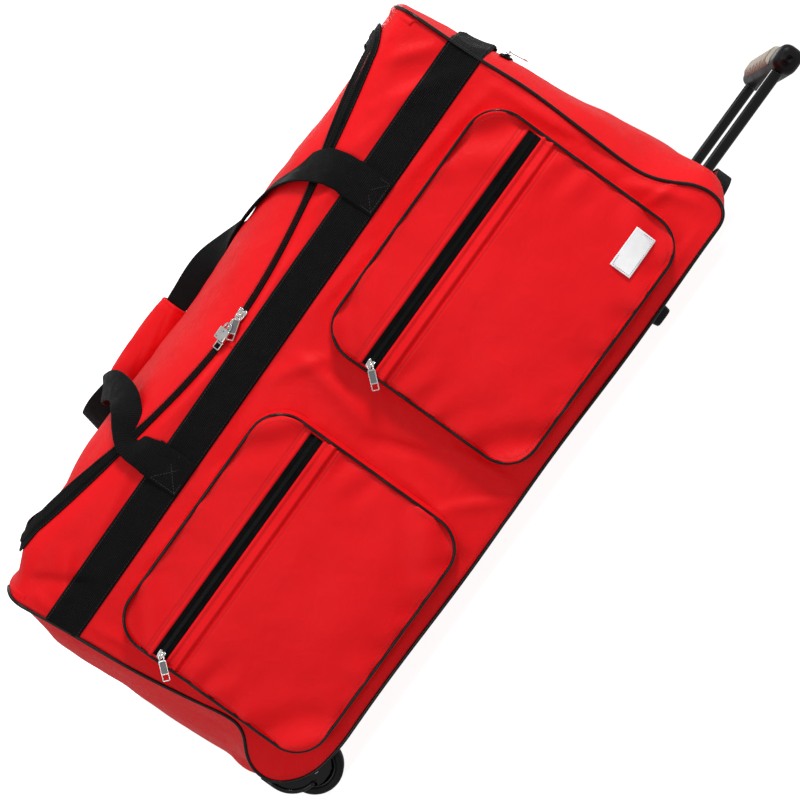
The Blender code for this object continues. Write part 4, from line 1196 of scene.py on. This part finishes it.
def carry_handle(facing, name, node):
    S = catmull(handle_stations(facing), 300)
    s = np.linspace(0, 1, 300)
    soft = np.clip(np.sin(math.pi * s), 0, 1)
    S[:, 2] += 0.0012 * np.sin(s * 41 + facing) * soft
    S[:, 1] += 0.0012 * np.sin(s * 33 - facing) * soft
    piece = ribbon(name, S[:, :3], S[:, 3:6], S[:, 6], S[:, 7], WEB, None)
    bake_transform(piece)
    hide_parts(node)


carry_handle(-1, "front_carry_webbing", "front_carry_handle")
carry_handle(1, "rear_carry_webbing", "rear_carry_handle")
for facing, where in ((-1, "front"), (1, "back")):
    for x, tag in STRAPS:
        strap_patch(f"{where}_strap_patch_{tag}", x, 0.047, facing)


def handle_wrap():
    """Padded sleeve round both straps, with a lapped edge, bound ends and rows of thread."""
    x0, x1 = -0.170, -0.048
    xs = np.linspace(x0, x1, 70)
    u = (xs - x0) / (x1 - x0)
    rows = []
    for a in np.linspace(math.radians(38), math.radians(338), 64):
        swell = 1 + 0.10 * np.sin(math.pi * u) ** 0.7 - 0.05 * np.exp(-((u - 0.03) / 0.03) ** 2) \
            - 0.05 * np.exp(-((u - 0.97) / 0.03) ** 2)
        crease = 0.0004 * np.sin(xs * 120 + 5 * math.sin(a * 2)) + 0.0003 * np.sin(xs * 57 - a * 3)
        crease = crease + 0.0022 * np.clip((a - math.radians(296)) / 0.3, 0, 1)
        rows.append(np.stack([xs, (0.0148 * swell + crease) * math.cos(a),
                              WRAP_Z + (0.0172 * swell + crease) * math.sin(a)], -1))
    P = np.array(rows)
    wrap = grid("handle_wrap_sleeve", P, RED, "front_handle", thick=0.0030)
    soften(wrap, 0.0010, 3, 60, "round")
    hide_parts("handle_wrap")
    for line, tag in ((P[:, 2], "low_x"), (P[:, 67], "high_x"), (P[60], "lap"), (P[3], "slit")):
        Q, D = along_path(line, 0.0038)
        N = unit((Q - (0, 0, WRAP_Z)) * (0, 1, 1))
        many(f"wrap_stitches_{tag}", Q + N * 0.0003, D, N, SMALL_STITCH, RED_THREAD,
             "front_handle", True)
    for x, tag in ((x0, "low_x"), (x1, "high_x")):
        pts = [(x, 0.0150 * math.cos(a), WRAP_Z + 0.0174 * math.sin(a))
               for a in np.linspace(math.radians(40), math.radians(336), 60)]
        tube(f"wrap_binding_{tag}", pts, 0.0019, RED, "front_handle")


handle_wrap()


# ---------------------------------------------------------------- sliders, pulls and padlock
def build_slider(name, node, body, matrix, k=1.0):
    """Teardrop slider with raised side flanges and a bridge over its top, k times 13 mm long."""
    half = [(-.0062, .0026), (-.0050, .0036), (-.0010, .0040), (.0040, .0046), (.0062, .0040),
            (.0066, .0022), (.0050, .0008), (.0046, 0)]
    outline = [(x, -y) for x, y in half] + half[-2::-1]
    base = plate(name + "_plate", [[(x * k, y * k) for x, y in outline]], 0.0011 * k, 0.0004 * k,
                 NICKEL, body, matrix @ Matrix.Translation((0, 0, 0.0012 * k)))
    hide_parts(node)
    for side, tag in ((-1, "a"), (1, "b")):
        rail = [(x * k, side * (y + 0.0001) * k, 0.0017 * k) for x, y in
                ((-.0056, .0026), (-.0045, .0036), (-.001, .0040), (.0040, .0046), (.0058, .0042))]
        tube(f"{name}_rail_{tag}", in_bag(matrix, rail), 0.0005 * k, NICKEL, body, sides=8)
    arch = [(.0030 * math.cos(a) * k, 0, (.0014 + .0036 * math.sin(a)) * k)
            for a in np.linspace(0, math.pi, 17)]
    tube(name + "_bridge", in_bag(matrix, arch), 0.00065 * k, NICKEL, body)


def build_pull(name, node, body, matrix, high=0.033, width=0.0092):
    """Tab along local Y: ring at the top, grey recessed field, window at the free end."""
    w, low = width / 2, 0.0072
    tab = rounded(-w, low - 0.0010, w, high, 0.0016, 4)
    field = rounded(-w + 0.0010, low + 0.0010, w - 0.0010, high - 0.0092, 0.0007, 3)
    window = rounded(-w + 0.0012, high - 0.0078, w - 0.0012, high - 0.0013, 0.0006, 3)
    rim = plate(name + "_rim", [tab, field, window], 0.0016, 0.0003, NICKEL, body, matrix)
    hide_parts(node)
    inlay = rounded(-w + 0.0007, low + 0.0007, w - 0.0007, high - 0.0088, 0.0007, 3)
    plate(name + "_field", [inlay], 0.0008, 0.0001, ENAMEL, body, matrix)
    eye = [(0.0032 * math.sin(a), 0.0032 - 0.0032 * math.cos(a), 0)
           for a in np.linspace(-2.35, 2.35, 25)]
    ends = [(side * 0.0026, low - 0.0002, 0) for side in (-1, 1)]
    tube(name + "_eye", in_bag(matrix, ends[:1] + eye + ends[1:]), 0.0009, NICKEL, body)


def set_pull(matrix, turn, lift=0.0034, tilt=0.0):
    return (matrix @ Matrix.Translation((0, 0, lift)) @ Matrix.Rotation(math.radians(turn), 4, "Z")
            @ Matrix.Rotation(math.radians(tilt), 4, "X"))


for tag, short in (("wheel_side", "w"), ("handle_side", "h")):
    x0, x1, seed = POCKETS[tag]
    x = x0 + 0.0078
    y = float(pocket_face_y(np.array([x]), np.array([POCKET_ZIP_Z]), x0, x1, seed)[0]) - 0.0012
    at = frame_at((x, y, POCKET_ZIP_Z), (1, 0, 0), (0, -1, 0))
    build_slider(f"pocket_slider_{tag}_detail", "pocket_slider_" + tag, "pocket_slider_" + short,
                 at, 0.85)
    build_pull(f"pocket_pull_{tag}_detail", "pocket_pull_" + tag, "pocket_pull_" + short,
               set_pull(at, 139, 0.0038, 2.0), 0.0315, 0.0090)


def on_main_zip(x, lift):
    spot = np.array([[x, float(zip_theta(np.array(x)))]])
    normal = surface_normal(spot)[0]
    return frame_at(roof(*spot.T)[0] + normal * lift, (1, 0, 0), normal)


for x, tag, turn, lift in ((0.0083, "a", 110, 0.0062), (-0.0083, "b", 90, 0.0040)):
    at = on_main_zip(x, 0.0012)
    build_slider(f"main_slider_{tag}_detail", "main_slider_" + tag, "slider_" + tag, at, 1.25)
    build_pull(f"main_pull_{tag}_detail", "main_pull_" + tag, "pull_" + tag,
               set_pull(at, turn, lift), 0.033, 0.0096)


def padlock():
    at = on_main_zip(-0.0225, 0.0062)
    case = plate("padlock_case", [rounded(-.0078, -.0078, .0078, .0078, .0012, 4)], 0.0056, 0.0008,
                 NICKEL, "padlock", at @ Matrix.Translation((0, 0, 0.0028)))
    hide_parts("padlock_body")
    for k, (x, y) in enumerate(((-.0052, -.0048), (-.0052, .0048), (.0040, 0))):
        rivet = [(0.0001, 0), (0.0010, 0), (0.0010, 0.0003), (0.0006, 0.0006), (0.0001, 0.0007)]
        turned(f"padlock_rivet_{k}", rivet, at @ Matrix.Translation((x, y, 0.0055)), ENAMEL,
               "padlock", 20)
    bow = [(0.0105 + .0046 * math.sin(a), -.0046 * math.cos(a), .0028)
           for a in np.linspace(0, math.pi, 19)]
    legs = [(0.0060, side * .0046, .0028) for side in (-1, 1)]
    shackle = tube("padlock_bow", in_bag(at, legs[:1] + bow + legs[1:]), 0.0013, STEEL, "padlock",
                   sides=12)
    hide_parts("padlock_shackle")


padlock()


# ---------------------------------------------------------------- end pocket zip, grab loop, feet
def end_zip():
    ys = np.linspace(-0.168, 0.168, 110)
    rows = []
    for d in np.linspace(-0.0070, 0.0070, 7):
        z = np.full(ys.shape, END_ZIP_Z + d)
        rows.append(np.stack([end_x(ys, z, 1) + 0.0024, ys, z], -1))
    tape = grid("end_pocket_zip_tape_knit", rows, TAPE, thick=0.0009)
    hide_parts("end_pocket_zip_tape")
    z = np.full(ys.shape, END_ZIP_Z)
    line = np.stack([end_x(ys, z, 1) + 0.0032, ys, z], 1)
    for d, start, where in TOOTH_ROWS:
        small_teeth("end_zip_teeth_" + where, line + (0, 0, d), (1.0, 0.0, 0.0), start)
    before, here, after = (float(end_x(np.array(END_SLIDER_Y + d), np.array(END_ZIP_Z), 1))
                           for d in (-0.004, 0, 0.004))
    ahead = Vector((after - before, 0.008, 0)).normalized()
    at = frame_at((here + 0.0038, END_SLIDER_Y, END_ZIP_Z), ahead, ahead.cross(Vector((0, 0, 1))))
    build_slider("end_pocket_slider_detail", "end_pocket_slider", "end_slider", at)
    build_pull("end_pocket_pull_detail", "end_pocket_pull", "end_pull",
               set_pull(at, 132, 0.0046, 6.0))


def grab_loop():
    half = [(.4465, .087), (.4540, .082), (.4670, .070), (.4810, .051), (.4910, .026)]
    st = [(x, -y, .0385, 1, -.4, 0, .0210, .0028) for x, y in half] + \
        [(.4940, 0, .0385, 1, 0, 0, .0210, .0030)] + \
        [(x, y, .0385, 1, .4, 0, .0210, .0028) for x, y in reversed(half)]
    S = catmull(st, 90)
    loop = ribbon("grab_handle_webbing", S[:, :3], S[:, 3:6], S[:, 6], S[:, 7], WEB)
    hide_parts("grab_handle")
    ribbon("grab_handle_lining", S[6:-6, :3] - (0.0024, 0, 0), S[6:-6, 3:6], 0.0175, 0.0018, RED)
    for side, where in ((-1, "front"), (1, "back")):
        y = side * 0.0905
        pts = np.array([(0.4440, y - 0.008, .0385), (0.4450, y, .0385), (0.4440, y + 0.008, .0385)])
        ribbon("grab_handle_foot_" + where, catmull(pts, 12),
               np.broadcast_to((1.0, 0, 0), (12, 3)), 0.0230, 0.0040, WEB)


end_zip()
grab_loop()


def feet():
    """Small tapered nubs with rounded corners and a flange against the base."""
    for node in ("foot_front", "foot_back"):
        low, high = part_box(node)
        x, y = 0.2995, (low[1] + high[1]) / 2 - SY
        rows = []
        for z, a, b in ((0.0, .0001, .0001), (0.0, .0105, .0075), (.0012, .0125, .0095),
                        (.0060, .0135, .0105), (.0190, .0150, .0118), (.0225, .0160, .0126),
                        (.0255, .0190, .0150), (.0278, .0192, .0152)):
            loop = []
            for t in np.linspace(0, 2 * math.pi, 40, endpoint=False):
                c, s = math.cos(t), math.sin(t)
                r = (abs(c) ** 3.2 + abs(s) ** 3.2) ** (-1 / 3.2)
                loop.append((x + a * r * c, y + b * r * s, z))
            rows.append(loop)
        nub = grid(node + "_nub", rows, PLASTIC, wrap=True)
        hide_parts(node)


def refinish(names, mat, bevel=0.0):
    """A better material, and softer edges, for CAD nodes that stay."""
    for name in names:
        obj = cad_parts[name]
        for slot in obj.material_slots:
            slot.material = mat
        if bevel:
            soften(obj, bevel, 3, 35)
        obj.data.polygons.foreach_set("use_smooth", [True] * len(obj.data.polygons))


def telescope():
    """Bezel with a raised collar round each tube, screws and the rings of the middle tubes."""
    y0, y1, z0, z1 = -0.1220, 0.1220, 0.0534, 0.0806
    to_yz = Matrix.Rotation(math.radians(90), 4, "Z") @ Matrix.Rotation(math.radians(90), 4, "X")
    to_mouth = Matrix.Translation((SX + 0.4535, SY, 0)) @ to_yz
    holes = [[(s * TUBE_Y + 0.0092 * math.cos(a), TUBE_Z + 0.0092 * math.sin(a))
              for a in np.linspace(0, 2 * math.pi, 40, endpoint=False)] for s in (-1, 1)]
    mouth = plate("telescope_mouth_bezel", [rounded(y0, z0, y1, z1, 0.0105, 8)] + holes, 0.0345,
                  0.0022, PLASTIC, "shell", to_mouth)
    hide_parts("telescope_mouth")
    collar = [(0.0091, 0), (0.0122, 0), (0.0122, 0.0028), (0.0112, 0.0040), (0.0091, 0.0040)]
    screw = [(0.0001, 0), (0.0030, 0), (0.0030, 0.0006), (0.0022, 0.0012), (0.0008, 0.0012),
             (0.0008, 0.0006), (0.0001, 0.0006)]
    cap = [(0.0073, 0), (0.0088, 0), (0.0088, 0.0028), (0.0083, 0.0035), (0.0073, 0.0035)]
    for s, tag in ((-1, "front"), (1, "back")):
        turned(f"telescope_collar_{tag}", collar, facing_x(0.4682, s * TUBE_Y), PLASTIC)
        turned(f"mouth_screw_{tag}", screw, facing_x(0.4706, s * 0.0720), STEEL, steps=24)
        turned(f"middle_tube_cap_{tag}", cap, facing_x(0.4690, s * TUBE_Y), PLASTIC,
               "telescope_middle")


def grip():
    """Cross grip: rounded bar with sockets and a grey ribbed insert on the hand's side."""
    n, m, half, power = 90, 36, 0.1235, 2.9
    ang = np.linspace(0, 2 * math.pi, m, endpoint=False)
    rows = []
    for y in np.linspace(-half, half, n):
        end = np.clip((half - abs(y)) / 0.014, 0, 1)
        k = math.sqrt(1 - (1 - end) ** 2) * 0.75 + 0.25
        belly = 0.0012 * math.cos(y / half * math.pi / 2)
        hx, hz = (0.0172 + belly) * k, (0.0158 + belly) * k
        c, s = np.cos(ang), np.sin(ang)
        r = (np.abs(c) ** power + np.abs(s) ** power) ** (-1 / power)
        rows.append(np.stack([GRIP_X + 0.0042 + hx * r * c, y + 0 * r, TUBE_Z + hz * r * s], -1))
    caps = [tuple(range(m)), tuple((n - 1) * m + j for j in range(m))[::-1]]
    bar = mesh_object("grip_bar", np.reshape(rows, (-1, 3)), strips(n, m) + caps)
    place(bar, PLASTIC, "telescope_inner")
    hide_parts("grip_body")
    ys = np.linspace(-0.0835, 0.0835, 200)
    rows = []
    for t in np.linspace(-1, 1, 30):
        rib = 0.0014 * np.abs(np.sin(ys * math.pi / 0.0088)) ** 0.6
        scallop = 0.0012 * np.cos(ys * 2 * math.pi / 0.0265)
        fade = np.clip((0.0835 - np.abs(ys)) / 0.004, 0, 1)
        across = math.sqrt(max(1 - t ** 4, 0))
        z = TUBE_Z + 0.0128 + (0.0044 + rib + scallop * 0.8) * across * fade ** 0.5
        rows.append(np.stack([GRIP_X + 0.0035 + 0.0118 * t + 0 * ys, ys, z], -1))
    pad = grid("grip_ribbed_insert", rows, GRIP, "telescope_inner", thick=0.0020)
    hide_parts("grip_insert")
    socket = [(0.0073, 0.0148), (0.0088, 0.0148), (0.0096, 0.0156), (0.0096, 0.0190),
              (0.0073, 0.0190)]
    for s, tag in ((-1, "front"), (1, "back")):
        turned(f"grip_socket_{tag}", socket, facing_x(GRIP_X - 0.0275, s * TUBE_Y), PLASTIC,
               "telescope_inner")


telescope()
grip()
refinish([f"{s}_tube_{t}" for s in ("outer", "middle", "inner") for t in ("front", "back")], TUBE)
refinish(["release_button"], ENAMEL, 0.0006)
feet()
refinish(["wheel_housing_front", "wheel_housing_back"], GUARD, 0.0010)
refinish(["axle_front", "axle_back"], STEEL)
refinish(["base_board", "telescope_cover"], BOARD, 0.0006)
refinish(["back_piping"], CORD)


# ---------------------------------------------------------------- wheels
def wheels():
    x, y, z = WHEEL
    half = 0.0120
    side = [(0.0256, half - 0.0012), (0.0272, half - 0.0004), (0.0292, half),
            (0.0322, half - 0.0010), (0.0341, half - 0.0032), (0.0349, half - 0.0062),
            (0.0349, 0.0016), (0.0342, 0.0011)]
    tread = [(r, -h) for r, h in side] + side[::-1]
    hub = [(0.0255, 0.0104), (0.0238, 0.0110), (0.0222, 0.0102), (0.0205, 0.0060),
           (0.0100, 0.0066), (0.0092, 0.0112), (0.0048, 0.0114)]
    rim = [(r, -h) for r, h in hub[:1]] + hub + [(r, -h) for r, h in hub[:0:-1]]
    cap = [(0.0001, 0), (0.0062, 0), (0.0062, 0.0008), (0.0050, 0.0020), (0.0001, 0.0024)]
    screw = [(0.0001, 0), (0.0026, 0), (0.0026, 0.0004), (0.0018, 0.0010), (0.0006, 0.0010),
             (0.0006, 0.0004), (0.0001, 0.0004)]
    edge = [(-HL - 0.0006, 0.0795), (-HL - 0.0006, 0.0620)]
    for t in np.radians(np.linspace(180, 262, 12)):
        edge.append((-HL + 0.035 + 0.0356 * math.cos(t), BASE + 0.0335 + 0.0356 * math.sin(t)))
    for s, tag in ((-1, "front"), (1, "back")):
        at = facing_side(x, y, z, s)
        body = "wheel_" + tag
        tyre = turned(f"tyre_tread_{tag}", tread, at, TYRE, body, 96)
        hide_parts("tyre_" + tag)
        disc = turned(f"rim_disc_{tag}", rim, at, GUARD, body, 72)
        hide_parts("rim_" + tag)
        rays = [(math.cos(k * math.pi / 3), math.sin(k * math.pi / 3), 0) for k in range(6)]
        C = in_bag(at, [(0.0150 * a, 0.0150 * b, 0.0072) for a, b, _ in rays])
        X = [tuple(at.to_3x3() @ Vector(ray)) for ray in rays]
        Z = [tuple(at.to_3x3() @ Vector((0, 0, 1)))] * 6
        many(f"rim_ribs_{tag}", C, X, Z, (0.0118, 0.0024, 0.0034), GUARD, body)
        turned(f"axle_cap_{tag}", cap, facing_side(x, y + 0.0195, z, s), STEEL, steps=32)
        for cheek, letter in ((-1, "a"), (1, "b")):
            lip = [(px, s * WELL_Y + cheek * 0.0205, pz) for px, pz in edge]
            tube(f"guard_lip_{tag}_{letter}", lip, 0.0030, GUARD, sides=12)
        for k, (px, pz) in enumerate(((-0.4100, 0.0705), (-0.3480, 0.0400))):
            turned(f"guard_screw_{tag}_{k}", screw, facing_side(px, WELL_Y + 0.0200, pz, s), STEEL,
                   steps=20)


wheels()


# ---------------------------------------------------------------- floor, light and camera
def glowing_grey(name, colour, strength):
    mat = bpy.data.materials.new(name)
    mat.use_nodes = True
    shader = mat.node_tree.nodes["Principled BSDF"]
    shader.inputs["Base Color"].default_value = (colour, colour, colour, 1)
    shader.inputs["Roughness"].default_value = 0.9
    shader.inputs["Specular IOR Level"].default_value = 0.0
    shader.inputs["Emission Color"].default_value = (1, 1, 1, 1)
    shader.inputs["Emission Strength"].default_value = strength
    return mat


def stage():
    floor = mesh_object("floor", [(-30, -30, 0), (30, -30, 0), (30, 30, 0), (-30, 30, 0)],
                        [(0, 1, 2, 3)], shift=False)
    floor.data.materials.append(glowing_grey("pale_floor", 0.13, 0.95))
    for flag in ("visible_diffuse", "visible_glossy"):
        setattr(floor, flag, False)
    bpy.ops.mesh.primitive_uv_sphere_add(segments=48, ring_count=24, radius=28)
    dome = bpy.context.object
    dome.name = "pale_backdrop"
    dome.data.materials.append(glowing_grey("pale_backdrop", 0.9, 1.2))
    for flag in ("visible_diffuse", "visible_glossy", "visible_shadow", "visible_transmission"):
        setattr(dome, flag, False)
    world = bpy.data.worlds.new("studio")
    world.use_nodes = True
    world.node_tree.nodes["Background"].inputs["Color"].default_value = (1, 1, 1, 1)
    world.node_tree.nodes["Background"].inputs["Strength"].default_value = 0.50
    bpy.context.scene.world = world


def area(name, at, target, size, power):
    """A round lamp that looks at a point of the bag."""
    lamp = bpy.data.lights.new(name, "AREA")
    lamp.shape = "DISK"
    lamp.size = size
    lamp.energy = power
    obj = bpy.data.objects.new(name, lamp)
    obj.location = at
    obj.rotation_euler = (Vector(target) - Vector(at)).to_track_quat("-Z", "Y").to_euler()
    bpy.context.scene.collection.objects.link(obj)


def camera():
    """The photo's view; the bag's tilt in it is this camera's roll."""
    lens = bpy.data.cameras.new("camera")
    lens.sensor_width = 36.0
    lens.lens = 88.7
    lens.clip_end = 200
    obj = bpy.data.objects.new("camera", lens)
    forward = Vector((-0.0656, 0.9974, -0.0285)).normalized()
    right = Vector((0.5837, 0.0152, -0.8118))
    right = (right - forward * right.dot(forward)).normalized()
    up = right.cross(forward)
    rot = Matrix((right, up, -forward)).transposed().to_4x4()
    obj.matrix_world = Matrix.Translation((0.0817, -2.5019, 0.2744)) @ rot
    bpy.context.scene.collection.objects.link(obj)
    bpy.context.scene.camera = obj


stage()
area("key", (2.5, -1.9, 2.1), (0.1, 0, 0.25), 0.9, 90)
area("fill", (-1.2, -3.2, 1.2), (0, 0, 0.25), 1.6, 20)
area("top", (0.3, 0.1, 2.8), (0, 0, 0.3), 1.4, 8)
area("rim", (1.0, 2.6, 1.6), (0.2, 0, 0.2), 1.2, 14)
camera()
bpy.context.scene.view_settings.view_transform = "Standard"
bpy.context.scene.view_settings.look = "None"
